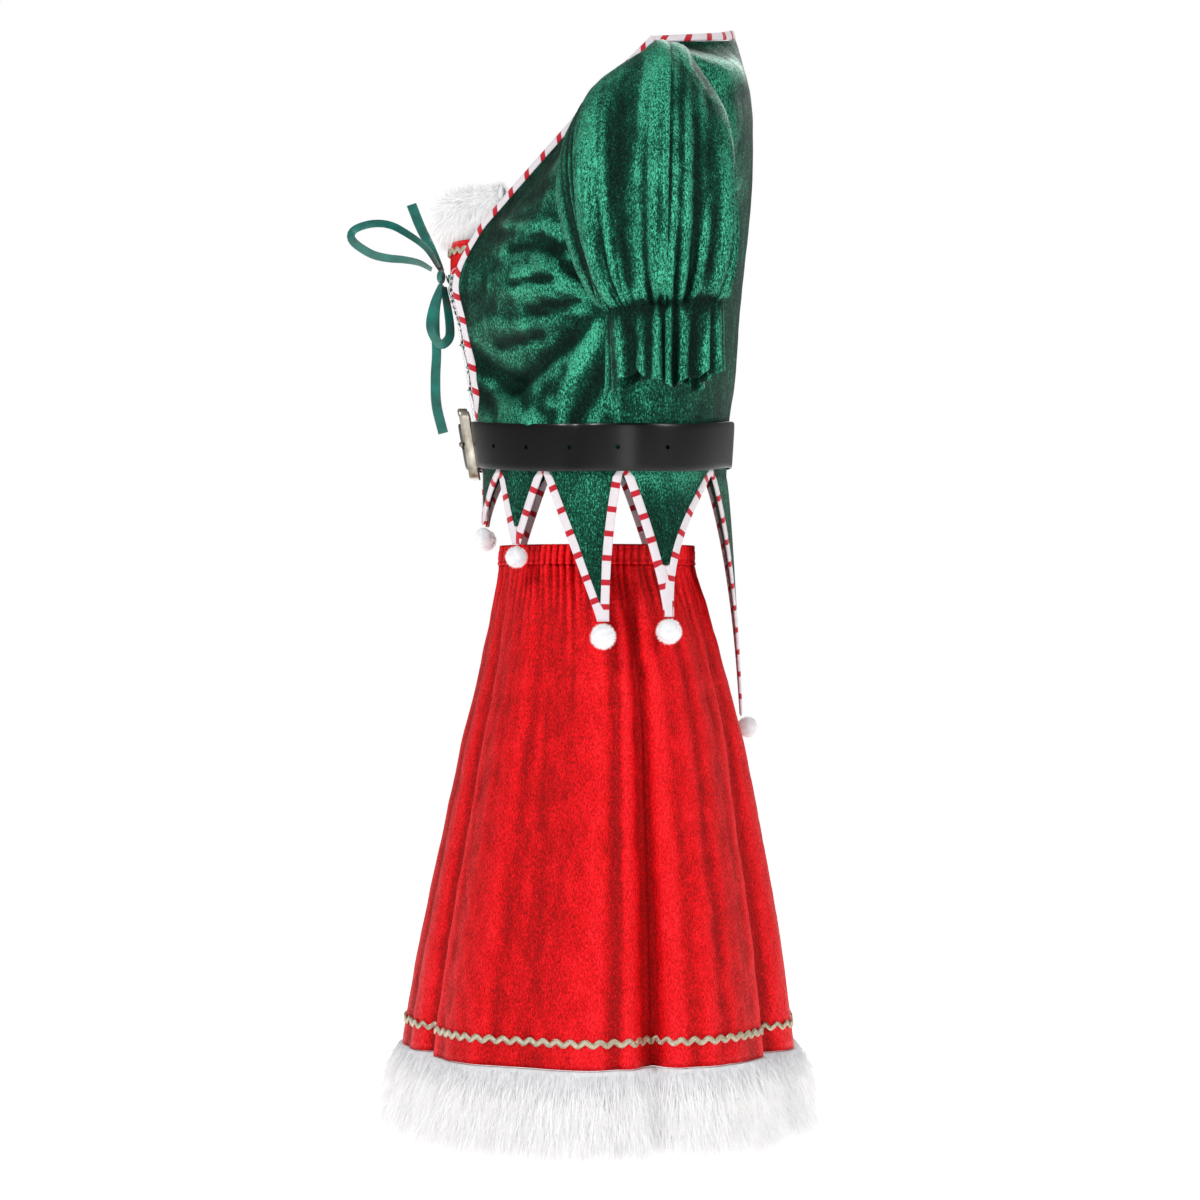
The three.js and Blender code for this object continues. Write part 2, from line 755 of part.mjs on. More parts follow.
function sleeveRuffle() {
  const rows = ruffleRows.map((row) => (
    turnRing(sleeveGathers * 3, (turn) => cuffPoint(turn, row.drop, row.grow, row.wave))
  ));
  return new Sheet().rows(rows).wall(velvetThick);
}

// Red panel behind the opening, the braid on it and the fur along its top
function rowForHeight(z) {
  return placeOf(frontRows, 'edgeZ', z);
}

function insertLine(z, proud = 0) {
  const midY = pick(insertRows, 'midY', placeOf(insertRows, 'z', z));
  const line = frontRow(rowForHeight(z));
  const sums = measure(line);
  const half = [];
  for (const reach of [insertTuck, insertTuck * 0.5, 0]) {
    const p = pointAt(line, sums, reach);
    const closer = reach === insertTuck ? 0.7 : 0;
    half.push(vec(p.x, p.y + insertBehind - closer, z));
  }
  const edge = half[2];
  for (const t of [0.86, 0.66, 0.45, 0.22]) {
    const bow = 1 - t * t;
    half.push(vec(edge.x * t, edge.y + (midY - edge.y) * bow, z));
  }
  const whole = [...half, vec(0, midY, z), ...flipX(half).reverse()];
  return whole.map((p, i) => {
    const from = whole[Math.max(i - 1, 0)];
    const to = whole[Math.min(i + 1, whole.length - 1)];
    const flow = to.clone().sub(from).normalize();
    return p.clone().add(vec(-flow.y, flow.x, 0).multiplyScalar(proud));
  });
}

function insertPanel() {
  const rows = [];
  for (const z of [-179.1, -192, -204, -220, -240, -264, -295, -335, -384]) {
    rows.push(insertLine(z));
  }
  return new Sheet().rows(rows).wall(velvetThick);
}

function insertBraid() {
  const waves = 6;
  const count = waves * 4;
  const low = [];
  const high = [];
  const line = insertLine(-188, 2.5).slice(3, 12);
  spaced(line, count).forEach((p, i) => {
    const wave = 2.2 * Math.sin((i / 4) * 2 * Math.PI);
    high.push(vec(p.x, p.y, p.z + wave + 2.1));
    low.push(vec(p.x, p.y, p.z + wave - 2.1));
  });
  return new Sheet().rows([high, low]).wall(1.4);
}

function furRoll() {
  const rings = [];
  const last = furRollRows.length - 1;
  for (let i = -last * 2; i <= last * 2; i += 1) {
    const at = Math.abs(i) / 2;
    const row = {};
    for (const key of ['x', 'y', 'z', 'deep', 'tall']) {
      row[key] = pick(furRollRows, key, at);
    }
    const ring = [];
    for (let j = 0; j < 10; j += 1) {
      const a = (j / 10) * 2 * Math.PI;
      const y = row.y + row.deep * Math.cos(a);
      ring.push(vec(row.x * Math.sign(i), y, row.z + row.tall * Math.sin(a)));
    }
    rings.push(ring);
  }
  return ringBody(rings);
}

// Belt: a closed guide round the waist, and offsets from it
const guideRings = [-340, beltTop, beltBottom].map((z) => {
  const v = placeOf(frontRows, 'edgeZ', z);
  const front = frontRow(v);
  const flow = front[1].clone().sub(front[0]).normalize();
  const bend = front[0].clone().addScaledVector(flow, -13);
  const middle = vec(0, bend.y - 1.2, z);
  const join = bezier(middle, vec(12, middle.y, z), bend, front[0], 8);
  const half = [...join, ...front.slice(1), ...backRow(v).slice(1)];
  const line = [...half, ...flipX(half).reverse().slice(1)];
  return { z, line, sums: measure(line) };
});
const beltRound = guideRings[1].sums.at(-1);

// A place near the waist: part of the way round from the centre front, out and height
function beltPlace(arc, out, z) {
  const ends = guideRings.slice(1).map((ring) => {
    const whole = ring.sums.at(-1);
    const reach = ((((arc / beltRound) % 1) + 1) % 1) * whole;
    const here = pointAt(ring.line, ring.sums, reach);
    const from = pointAt(ring.line, ring.sums, Math.max(reach - 5, 0));
    const to = pointAt(ring.line, ring.sums, Math.min(reach + 5, whole));
    const flow = to.sub(from).normalize();
    return here.add(vec(flow.y, -flow.x, 0).multiplyScalar(out));
  });
  const t = (z - beltTop) / (beltBottom - beltTop);
  const p = ends[0].lerp(ends[1], t);
  return vec(p.x, p.y, z - beltDip * smooth(20, 150, Math.abs(p.x)));
}

const heelAt = -26;
const overlap = 120;

// Belt leather: it starts under the heel bar, goes round by the right side and the back,
// comes back behind the front bar, over the heel bar and ends over its own start
function beltOut(arc) {
  const lift = smooth(beltRound + 18, beltRound - 16, arc);
  const rest = smooth(beltRound - 34, beltRound - 58, arc);
  const over = buckleDeep + leatherThick + 0.8;
  return beltGap + lift * (over - rest * (over - layerStep));
}

function toManifold(shape) {
  const place = shape.getAttribute('position');
  const mesh = new wasm.Mesh({
    numProp: 3,
    vertProperties: new Float32Array(place.array),
    triVerts: new Uint32Array(shape.getIndex().array),
  });
  return new wasm.Manifold(mesh);
}

function fromManifold(solid) {
  const mesh = solid.getMesh();
  const shape = new THREE.BufferGeometry();
  shape.setAttribute('position', new THREE.Float32BufferAttribute(mesh.vertProperties, 3));
  shape.setIndex([...mesh.triVerts]);
  return shape;
}

function holePunch(arc, wide, tall, z, sides = 8) {
  const rings = [];
  for (const out of [-1, 22]) {
    const ring = [];
    for (let j = 0; j < sides; j += 1) {
      const a = ((j + 0.5) / sides) * 2 * Math.PI;
      ring.push(beltPlace(arc + wide * Math.cos(a), out, z + tall * Math.sin(a)));
    }
    rings.push(ring);
  }
  return toManifold(ringBody(rings));
}

const beltHoles = [46, 88, 130, 172, 214, 256];

function belt() {
  // the arc runs backwards from the heel bar to the loose end, so the strap is one sheet
  const rows = [[], []];
  const start = beltRound + heelAt + 8;
  const end = heelAt - overlap;
  const marks = [];
  for (let arc = 24; arc < start; arc += (start - 24) / 52) {
    marks.push(arc);
  }
  marks.push(start);
  const near = [12, 6, 0, -6, -12, -18, -26, -34, -42, -50, -58, -70, -84, -100, -116, -130];
  const places = [...marks.reverse(), ...near, end];
  places.forEach((arc) => {
    const out = arc > 24 ? beltGap : beltOut(arc + beltRound);
    const left = arc - end;
    const taper = arc < 0 ? 1 - Math.pow(1 - Math.min(left / 24, 1), 2) * 0.75 : 1;
    const mid = (beltTop + beltBottom) / 2;
    const half = ((beltTop - beltBottom) / 2) * taper;
    rows[0].push(beltPlace(arc, out, mid + half));
    rows[1].push(beltPlace(arc, out, mid - half));
  });
  let solid = toManifold(new Sheet().rows(rows).wall(leatherThick));
  for (const arc of beltHoles) {
    solid = solid.subtract(holePunch(arc, holeRadius, holeRadius, -361));
  }
  solid = solid.subtract(holePunch(-1, 10, 5, -361, 4));
  return fromManifold(solid);
}

function buckleFrame() {
  const back = beltGap + leatherThick / 2 + 0.4;
  const front = back + buckleDeep;
  const halfZ = (buckleTop - buckleBottom) / 2;
  const midZ = (buckleTop + buckleBottom) / 2;
  const rings = [];
  const corner = 9;
  const turns = 4;
  for (let side = 0; side < 4; side += 1) {
    const signA = [1, -1, -1, 1][side];
    const signZ = [1, 1, -1, -1][side];
    const first = rings.length;
    for (let i = 0; i <= turns; i += 1) {
      const a = ((side + i / turns) * Math.PI) / 2;
      const ring = [];
      const section = [[0, back], [0, front - 2], [2, front], [buckleBar - 2.5, front],
        [buckleBar, front - 2.5], [buckleBar, back]];
      for (const [inside, out] of section) {
        const round = Math.max(corner - inside, 1);
        const arc = signA * (buckleHalfWide - inside - round) + round * Math.cos(a);
        const z = midZ + signZ * (halfZ - inside - round) + round * Math.sin(a);
        ring.push(beltPlace(arc, out, z));
      }
      rings.push(ring);
    }
    const next = [-1, -1, 1, 1][side];
    const upright = side % 2 === 1;
    if (!upright && first >= 0) {
      for (const step of [0.25, 0.5, 0.75]) {
        const ring = [];
        const section = [[0, back], [0, front - 2], [2, front], [buckleBar - 2.5, front],
          [buckleBar, front - 2.5], [buckleBar, back]];
        for (const [inside, out] of section) {
          const reach = buckleHalfWide - Math.max(corner, inside + 1);
          const arc = -next * reach + 2 * next * reach * step;
          ring.push(beltPlace(arc, out, midZ + signZ * (halfZ - inside)));
        }
        rings.push(ring);
      }
    }
  }
  return ringBody(rings, true);
}

function buckleProng() {
  const rings = [];
  const stations = [[-18.5, 7.6], [-8, 9.4], [2, 12], [14, 15.6], [22, 17], [29, 17.1], [33, 16.6]];
  stations.forEach(([arc, out], i) => {
    const size = i === stations.length - 1 ? 1 : 1.9;
    const ring = [];
    for (let j = 0; j < 6; j += 1) {
      const a = ((j + 0.5) / 6) * 2 * Math.PI;
      ring.push(beltPlace(arc, out + size * Math.cos(a), -361 + size * 1.3 * Math.sin(a)));
    }
    rings.push(ring);
  });
  return ringBody(rings);
}

function beltKeeper() {
  const low = 1.75;
  const high = beltGap + layerStep + leatherThick / 2 + 0.4;
  const path = [
    { out: low, z: beltTop + 0.6, up: 1.3, thick: 0.95 },
    { out: high, z: beltTop + 0.6, up: 1.3, thick: -1.2 },
    { out: high, z: beltBottom - 0.6, up: -1.3, thick: -1.2 },
    { out: low, z: beltBottom - 0.6, up: -1.3, thick: 0.95 },
  ];
  const rings = path.map((corner) => {
    const inner = corner.out === low ? low + 0.95 : high;
    const outer = inner - corner.thick;
    return [
      beltPlace(-88, inner, corner.z),
      beltPlace(-78, inner, corner.z),
      beltPlace(-78, outer, corner.z + corner.up),
      beltPlace(-88, outer, corner.z + corner.up),
    ];
  });
  return ringBody(rings, true);
}

// Skirt
function skirtFoldOut(angle, z) {
  const drop = Math.min(Math.max((skirtRows[1].z - z) / (skirtRows[1].z - skirtHem), 0), 1.1);
  const turn = Math.abs(((angle + 540) % 360) - 180);
  let out = 0;
  for (const fold of skirtFolds) {
    const deep = fold.top * smooth(0, 0.15, drop) * (1 - drop) + fold.hem * Math.pow(drop, 0.9);
    out += deep * bell(turn - fold.angle, fold.wide);
  }
  const dent = smooth(tailDent.from, tailDent.full, z) * smooth(tailDent.to, tailDent.full, z);
  return out - dent * tailDent.deep * bell(180 - turn, tailDent.wide);
}

function skirtPlace(angle, z, extra = 0) {
  const at = placeOf(skirtRows, 'z', z);
  const frontY = pick(skirtRows, 'frontY', at);
  const backY = pick(skirtRows, 'backY', at);
  const halfX = pick(skirtRows, 'halfX', at);
  const a = THREE.MathUtils.degToRad(angle);
  const halfY = (backY - frontY) / 2;
  const x = halfX * Math.sin(a);
  const y = (frontY + backY) / 2 - halfY * Math.cos(a);
  const out = vec(Math.sin(a) / halfX, -Math.cos(a) / halfY, 0).normalize();
  return vec(x, y, z).addScaledVector(out, skirtFoldOut(angle, z) + extra);
}

function skirtRing(count, z, wave = 0, extra = 0) {
  const row = [];
  for (let i = 0; i <= count; i += 1) {
    const part = (i % count) / count;
    const gather = wave * Math.cos(part * skirtGathers * 2 * Math.PI);
    row.push(skirtPlace(part * 360, z, extra + gather));
  }
  return row;
}

function skirtCloth() {
  const fine = skirtGathers * 2;
  const rows = [skirtRing(fine, -469.2, 1.5), skirtRing(fine, -480, 1.7)];
  for (const z of [-500, -530, -571, -625, -690, -765, -835, skirtHem]) {
    rows.push(skirtRing(fine / 3, z));
  }
  return new Sheet().rows(rows).wall(velvetThick);
}

function waistband() {
  const fine = skirtGathers * 2;
  return new Sheet().rows([skirtRing(fine, -451, 1.4), skirtRing(fine, -468, 1.4)]).wall(3);
}

function skirtBraid() {
  return new Sheet().rows([skirtRing(48, -869.5, 0, 2.1), skirtRing(48, -878.5, 0, 2.1)]).wall(1.4);
}

// Long fur under the hem, a ring open above and below
const furSection = [
  { out: -4, z: skirtHem - 0.5 },
  { out: 4, z: skirtHem - 0.5 },
  { out: 12, z: skirtHem - 12 },
  { out: 17, z: -934 },
  { out: 20, z: -962 },
  { out: 14, z: furBottom },
  { out: -4, z: furBottom + 2 },
];

function skirtFur() {
  const rings = [];
  const count = 48;
  for (let i = 0; i < count; i += 1) {
    const angle = (i / count) * 360;
    rings.push(furSection.map((p) => {
      const hold = skirtFoldOut(angle, p.z) * -0.35 * smooth(skirtHem, skirtHem - 60, p.z);
      return skirtPlace(angle, p.z, p.out * 0.9 + hold);
    }));
  }
  return ringBody(rings, true);
}

// A ribbon along a line, its width along a given way, as a flat strip
function ribbon(line, across, wide = ribbonWide, thick = ribbonThick) {
  const first = [];
  const second = [];
  line.forEach((p, i) => {
    const way = (Array.isArray(across) ? across[i] : across).clone().normalize();
    first.push(p.clone().addScaledVector(way, wide / 2));
    second.push(p.clone().addScaledVector(way, -wide / 2));
  });
  return new Sheet().rows([first, second]).wall(thick);
}

function curveThrough(points, count) {
  return new THREE.CatmullRomCurve3(points, false, 'centripetal').getSpacedPoints(count);
}

// Lacing over the panel from one front edge to the other
const laceLevels = [-213, -233, -253, -273, -293, -313, -333];
const laceProud = 2.1;

function lace(startSide, lift) {
  const line = [];
  const start = insertLine(laceLevels[0] + 3, laceProud + lift);
  const startSums = measure(start);
  const middle = startSums.at(-1) / 2;
  for (let i = 0; i < 4; i += 1) {
    const away = 1 + (i / 4) * (middle - insertTuck - 4.5);
    const p = pointAt(start, startSums, middle - startSide * away);
    line.push(vec(p.x, p.y, p.z - (i / 4) * 3));
  }
  laceLevels.forEach((z, n) => {
    const sign = n % 2 === 0 ? startSide : -startSide;
    const next = laceLevels[n + 1];
    if (next === undefined) {
      return;
    }
    for (let i = n ? 1 : 0; i <= 7; i += 1) {
      const t = i / 7;
      const height = z + (next - z) * t;
      const cross = insertLine(height, laceProud + lift);
      const sums = measure(cross);
      const total = sums.at(-1);
      const edge = insertTuck + 3.5;
      const part = sign > 0 ? edge + (total - 2 * edge) * t : total - edge - (total - 2 * edge) * t;
      line.push(pointAt(cross, sums, part));
    }
  });
  return ribbon(line, vec(0, -0.22, 1), 6, 0.9);
}

// Bow at the top of the lacing: loops and tails as lines seen from the side
const bowLines = {
  bow_loop_up: [[3, -211.5, -202.4], [5, -224, -183], [5, -244, -168.5], [3, -258, -162],
    [0, -273, -161], [-2, -287, -165], [-3, -292, -171], [-3, -288, -178.5], [-3, -273, -188],
    [-3, -258, -191.7], [-3, -244, -193], [-2, -230, -196], [-2, -219, -202]],
  bow_loop_down: [[5, -210.5, -215.7], [6, -217, -234], [6, -220, -252], [6, -216, -264],
    [6, -209.5, -270], [6, -203, -264], [6, -202.3, -254], [5, -204, -240], [5, -206.5, -226],
    [5, -207.5, -218]],
  bow_tail_up: [[-8, -210.5, -202.5], [-11, -222, -178], [-12, -230, -162], [-13, -238, -142]],
  bow_tail_down: [[-7, -210, -215.4], [-9, -215, -236], [-9, -216, -256], [-9, -215, -276],
    [-9, -216, -300], [-9, -215, -324], [-9, -209, -349]],
};

function bowPiece(name) {
  const points = bowLines[name].map(([x, y, z]) => vec(x, y, z));
  const count = name.startsWith('bow_loop') ? 22 : 12;
  const wide = name === 'bow_tail_up' ? vec(1, 0.2, 0) : vec(1, 0, 0);
  return ribbon(curveThrough(points, count), wide, name === 'bow_loop_up' ? 8 : 8, 0.9);
}

function bowKnot() {
  const shape = new THREE.SphereGeometry(6.5, 10, 7);
  shape.scale(1.25, 0.62, 1.05);
  shape.translate(0, -210.5, -208.8);
  return shape;
}

// Pompoms under the tips of the hem points
function pompom(point, sign) {
  const shape = new THREE.IcosahedronGeometry(1, 1);
  const tip = hemPlace(point.tip, point.tipZ, point);
  const radius = { front: 9, second: 10.5, side: pompomRadius, rear: pompomRadius, tail: 10.8 };
  const r = radius[point.name];
  const centre = tip.clone();
  centre.z -= r + 0.5;
  if (point.name === 'side' || point.name === 'rear') {
    const turn = Math.atan2(centre.x, -(centre.y + 65));
    const near = skirtPlace(THREE.MathUtils.radToDeg(turn), centre.z);
    centre.x = near.x + r + 2.2;
  }
  if (point.name === 'tail') {
    centre.y = skirtPlace(180, centre.z).y + r + 1.4;
  }
  const aside = Math.hypot(centre.x - tip.x, centre.y - tip.y);
  const tall = point.name === 'front' ? 1.25 : 1;
  centre.z = tip.z - Math.sqrt(Math.max((r + 0.5) ** 2 - aside ** 2, 0)) * tall;
  shape.scale(r, r, r * tall);
  shape.translate(centre.x * sign, centre.y, centre.z);
  return shape;
}

// Colours and surfaces
const looks = {
  green: { color: 0x12694d, roughness: 0.75, metalness: 0 },
  red: { color: 0xcd0f19, roughness: 0.75, metalness: 0 },
  stripe: { color: 0xe8e0e4, roughness: 0.8, metalness: 0 },
  fur: { color: 0xf7f6f5, roughness: 0.95, metalness: 0 },
  satin: { color: 0x12705f, roughness: 0.4, metalness: 0 },
  leather: { color: 0x15161a, roughness: 0.55, metalness: 0 },
  metal: { color: 0xa79f8c, roughness: 0.35, metalness: 1 },
  gold: { color: 0xb89a4a, roughness: 0.45, metalness: 0.8 },
};

const costume = new THREE.Group();

function add(name, shape, look) {
  const mesh = new THREE.Mesh(shape, new THREE.MeshStandardMaterial(looks[look]));
  mesh.name = name;
  costume.add(mesh);
}

const front = frontPanel();
const puff = sleeve();
const ruffle = sleeveRuffle();
add('top_front_left', front, 'green');
add('top_front_right', mirrored(front), 'green');
add('top_back', backPanel(), 'green');
add('sleeve_left', puff, 'green');
add('sleeve_right', mirrored(puff), 'green');
add('sleeve_ruffle_left', ruffle, 'green');
add('sleeve_ruffle_right', mirrored(ruffle), 'green');
add('binding_neck', neckBinding(), 'stripe');
add('binding_hem', hemBinding(), 'stripe');
add('insert_panel', insertPanel(), 'red');
add('insert_braid', insertBraid(), 'gold');
add('insert_fur', furRoll(), 'fur');
add('lace_a', lace(1, 0), 'satin');
add('lace_b', lace(-1, 1.9), 'satin');
for (const name of Object.keys(bowLines)) {
  add(name, bowPiece(name), 'satin');
}
add('bow_knot', bowKnot(), 'satin');
for (const point of hemPoints) {
  add(`pompom_${point.name}_left`, pompom(point, 1), 'fur');
  if (point.name !== 'tail') {
    add(`pompom_${point.name}_right`, pompom(point, -1), 'fur');
  }
}
add('belt_strap', belt(), 'leather');
add('buckle_frame', buckleFrame(), 'metal');
add('buckle_prong', buckleProng(), 'metal');
add('belt_keeper', beltKeeper(), 'leather');
add('skirt_waistband', waistband(), 'red');
add('skirt_cloth', skirtCloth(), 'red');
add('skirt_braid', skirtBraid(), 'gold');
add('skirt_fur', skirtFur(), 'fur');

export default costume;
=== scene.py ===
# %% [markdown]
# # An elf costume set in crushed velvet
# This lesson dresses a hollow, worn costume: a laced top, a belt and a fur-trimmed skirt.
# The frame gives plain solids in metres. Each cloth piece is laid over its solid as a thin
# shell, because cloth reads as cloth only when its folds, edges and thickness are real.

# %% Load the frame
import json
import math
import bpy
import bmesh
import numpy as np
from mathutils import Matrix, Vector

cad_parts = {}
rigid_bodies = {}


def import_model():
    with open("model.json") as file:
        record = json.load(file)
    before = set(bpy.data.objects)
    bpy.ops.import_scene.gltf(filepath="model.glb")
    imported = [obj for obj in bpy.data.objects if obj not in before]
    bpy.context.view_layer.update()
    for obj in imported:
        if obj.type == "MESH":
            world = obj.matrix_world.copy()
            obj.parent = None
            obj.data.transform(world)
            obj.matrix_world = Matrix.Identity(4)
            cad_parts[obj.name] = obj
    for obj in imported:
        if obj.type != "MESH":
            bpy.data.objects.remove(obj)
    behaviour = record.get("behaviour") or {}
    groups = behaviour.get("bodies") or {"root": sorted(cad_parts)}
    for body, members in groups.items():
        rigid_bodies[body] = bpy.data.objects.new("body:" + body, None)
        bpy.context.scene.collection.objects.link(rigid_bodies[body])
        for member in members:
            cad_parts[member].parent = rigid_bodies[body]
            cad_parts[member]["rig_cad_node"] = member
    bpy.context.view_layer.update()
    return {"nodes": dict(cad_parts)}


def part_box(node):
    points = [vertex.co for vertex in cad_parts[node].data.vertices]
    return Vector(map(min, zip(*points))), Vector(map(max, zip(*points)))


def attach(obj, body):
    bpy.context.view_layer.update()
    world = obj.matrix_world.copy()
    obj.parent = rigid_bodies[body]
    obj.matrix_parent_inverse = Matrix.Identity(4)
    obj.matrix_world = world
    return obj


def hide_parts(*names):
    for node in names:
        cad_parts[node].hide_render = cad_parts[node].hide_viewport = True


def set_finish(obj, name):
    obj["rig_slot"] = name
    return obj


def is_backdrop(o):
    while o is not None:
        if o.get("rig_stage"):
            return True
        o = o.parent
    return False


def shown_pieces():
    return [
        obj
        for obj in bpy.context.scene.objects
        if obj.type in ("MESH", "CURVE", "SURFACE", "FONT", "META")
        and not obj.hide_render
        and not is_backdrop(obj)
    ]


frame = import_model()
bpy.ops.object.select_all(action="DESELECT")

# %% [markdown]
# ## Camera, floor and light
# The set is seen square on from its left side, from 3 m away with a long lens, so its
# outline stays nearly flat. Large soft lights suit velvet: its nap needs broad glows.

# %% Camera
MM = 0.001
CAMERA_FAR = 3.0
MID_Y = -67.5 * MM
MID_Z = -499.5 * MM


def add_camera():
    data = bpy.data.cameras.new("side_camera")
    data.lens = 100
    data.sensor_width = 36
    data.clip_end = 50
    obj = bpy.data.objects.new("side_camera", data)
    obj.location = (CAMERA_FAR, MID_Y, MID_Z)
    obj.rotation_euler = (math.radians(90), 0, math.radians(90))
    bpy.context.collection.objects.link(obj)
    bpy.context.scene.camera = obj


add_camera()
print("camera at", CAMERA_FAR, MID_Y, MID_Z)

# %% Floor and lights
def add_light(name, place, aim, size, power, tint=(1, 1, 1)):
    data = bpy.data.lights.new(name, "AREA")
    data.shape = "RECTANGLE"
    data.size, data.size_y = size
    data.energy = power
    data.color = tint
    obj = bpy.data.objects.new(name, data)
    obj.location = place
    way = Vector(aim) - Vector(place)
    obj.rotation_euler = way.to_track_quat("-Z", "Y").to_euler()
    bpy.context.collection.objects.link(obj)


def add_floor():
    bpy.ops.mesh.primitive_plane_add(size=40, location=(0, 0, -1.25))
    floor = bpy.context.object
    floor.name = "floor"
    mat = bpy.data.materials.new("pale_floor")
    mat.use_nodes = True
    shader = mat.node_tree.nodes["Principled BSDF"]
    shader.inputs["Base Color"].default_value = (0.98, 0.98, 0.98, 1)
    shader.inputs["Roughness"].default_value = 1
    shader.inputs["Specular IOR Level"].default_value = 0
    shader.inputs["Emission Color"].default_value = (1, 1, 1, 1)
    shader.inputs["Emission Strength"].default_value = 0.84
    floor.data.materials.append(mat)
    floor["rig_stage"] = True


def set_world():
    world = bpy.data.worlds.new("studio")
    bpy.context.scene.world = world
    world.use_nodes = True
    tree = world.node_tree
    back = tree.nodes["Background"]
    back.inputs["Color"].default_value = (1, 1, 1, 1)
    seen = tree.nodes.new("ShaderNodeLightPath")
    level = tree.nodes.new("ShaderNodeMapRange")
    level.inputs["To Min"].default_value = 0.2
    level.inputs["To Max"].default_value = 1.0
    tree.links.new(seen.outputs["Is Camera Ray"], level.inputs["Value"])
    tree.links.new(level.outputs[0], back.inputs["Strength"])


add_floor()
set_world()
add_light("key", (1.9, -1.7, 1.6), (0, -0.05, -0.42), (0.5, 0.7), 56)
add_light("rim", (1.2, 2.2, 0.9), (0, 0, -0.4), (0.6, 1.2), 26)
add_light("fill", (2.9, 0.3, -0.2), (0, 0, -0.55), (1.0, 1.4), 9)
add_light("back", (-2.4, 0.6, 1.2), (0, 0, -0.4), (1.4, 1.6), 30)
print("lights set")

# %% [markdown]
# ## Tables of the cut
# The cloth shells follow the same sections as the solids, row by row, in millimetres. A
# table with named columns is easier to tune than a long list of points.

# %% Sections of the top
FRONT_ROWS = [
    dict(ex=88, ey=-23, ez=-7, sx=165, sy=-8, sz=-26, full=0.3),
    dict(ex=80, ey=-59, ez=-42, sx=152, sy=-58, sz=-52, full=0.3),
    dict(ex=72, ey=-92, ez=-77, sx=142, sy=-84, sz=-88, full=0.35),
    dict(ex=62, ey=-127, ez=-115, sx=143, sy=-94, sz=-122, full=0.42),
    dict(ex=53, ey=-156, ez=-147, sx=155, sy=-74, sz=-150, full=0.5),
    dict(ex=46, ey=-179, ez=-175, sx=160, sy=-50, sz=-167, full=0.56),
    dict(ex=39, ey=-198, ez=-216, sx=158, sy=-50, sz=-216, full=0.6),
    dict(ex=38, ey=-191, ez=-256, sx=153, sy=-49, sz=-256, full=0.56),
    dict(ex=37, ey=-183, ez=-300, sx=148, sy=-48, sz=-300, full=0.5),
    dict(ex=37, ey=-177, ez=-340, sx=146, sy=-48, sz=-340, full=0.48),
    dict(ex=37, ey=-171, ez=-381, sx=145, sy=-48, sz=-381, full=0.48),
]
BACK_ROWS = [
    dict(my=60.5, mz=-22, sx=160, sy=14, sz=-48),
    dict(my=67, mz=-50, sx=154, sy=30, sz=-80),
    dict(my=69, mz=-85, sx=153, sy=28, sz=-115),
    dict(my=68.5, mz=-125, sx=157, sy=0, sz=-149),
    dict(my=65.5, mz=-167, sx=160, sy=-50, sz=-167),
    dict(my=60, mz=-216, sx=158, sy=-50, sz=-216),
    dict(my=56.5, mz=-256, sx=153, sy=-49, sz=-256),
    dict(my=53.5, mz=-300, sx=148, sy=-48, sz=-300),
    dict(my=48, mz=-340, sx=146, sy=-48, sz=-340),
    dict(my=45.5, mz=-381, sx=145, sy=-48, sz=-381),
]
NECK_EDGE = [
    dict(x=88, y=-23, z=-7, steep=50),
    dict(x=83, y=12, z=-4.5, steep=54),
    dict(x=62, y=37, z=0.5, steep=60),
    dict(x=32, y=49, z=7.5, steep=70),
    dict(x=0, y=52, z=12, steep=80),
]
BINDING_WIDE = 8
SEAM = 0.35
BACK_ROUND = 0.55
DENSE = 64
BODY_MIDDLE = np.array([0, -60, 0])
print("rows of the front:", len(FRONT_ROWS), "of the back:", len(BACK_ROWS))

# %% [markdown]
# ## Reading between the rows
# A table gives a few sections only. A smooth curve through its rows gives the places between
# them, as a maker's curve ruler would, so the cloth has no kinks at the rows.

# %% Smooth reading of a table
def pick(rows, key, at):
    last = len(rows) - 1
    i = min(max(int(math.floor(at)), 0), last - 1)
    t = at - i
    p1, p2 = rows[i][key], rows[i + 1][key]
    if at < 0 or at > last:
        return p1 + (p2 - p1) * t
    p0 = rows[i - 1][key] if i > 0 else 2 * p1 - p2
    p3 = rows[i + 2][key] if i + 2 <= last else 2 * p2 - p1
    square = 2 * p0 - 5 * p1 + 4 * p2 - p3
    cube = 3 * p1 - p0 - 3 * p2 + p3
    return 0.5 * (2 * p1 + (p2 - p0) * t + square * t * t + cube * t * t * t)


def place_of(rows, key, value):
    i = 0
    while i < len(rows) - 2 and value < rows[i + 1][key]:
        i += 1
    return i + (value - rows[i][key]) / (rows[i + 1][key] - rows[i][key])


def smooth(low, high, value):
    t = np.clip((value - low) / (high - low), 0, 1)
    return t * t * (3 - 2 * t)


def bell(off, wide):
    return np.exp(-(off * off) / (wide * wide))


def unit(ways):
    return ways / np.linalg.norm(ways, axis=-1)[..., None]


def bezier(a, b, c, d, count=DENSE):
    t = np.linspace(0, 1, count + 1)[:, None]
    s = 1 - t
    a, b, c, d = (np.asarray(p, float) for p in (a, b, c, d))
    return s**3 * a + 3 * s * s * t * b + 3 * s * t * t * c + t**3 * d


def sums_of(line):
    return np.concatenate([[0], np.cumsum(np.linalg.norm(np.diff(line, axis=0), axis=1))])


def at_distance(line, sums, reach):
    reach = np.asarray(reach, float)
    return np.stack([np.interp(reach, sums, line[:, k]) for k in range(3)], axis=-1)


def spaced(line, count, skip_start=0.0, skip_end=0.0):
    sums = sums_of(line)
    return at_distance(line, sums, np.linspace(skip_start, sums[-1] - skip_end, count + 1))


print("halfway down the front edge:", round(pick(FRONT_ROWS, "ey", 5.5), 1))

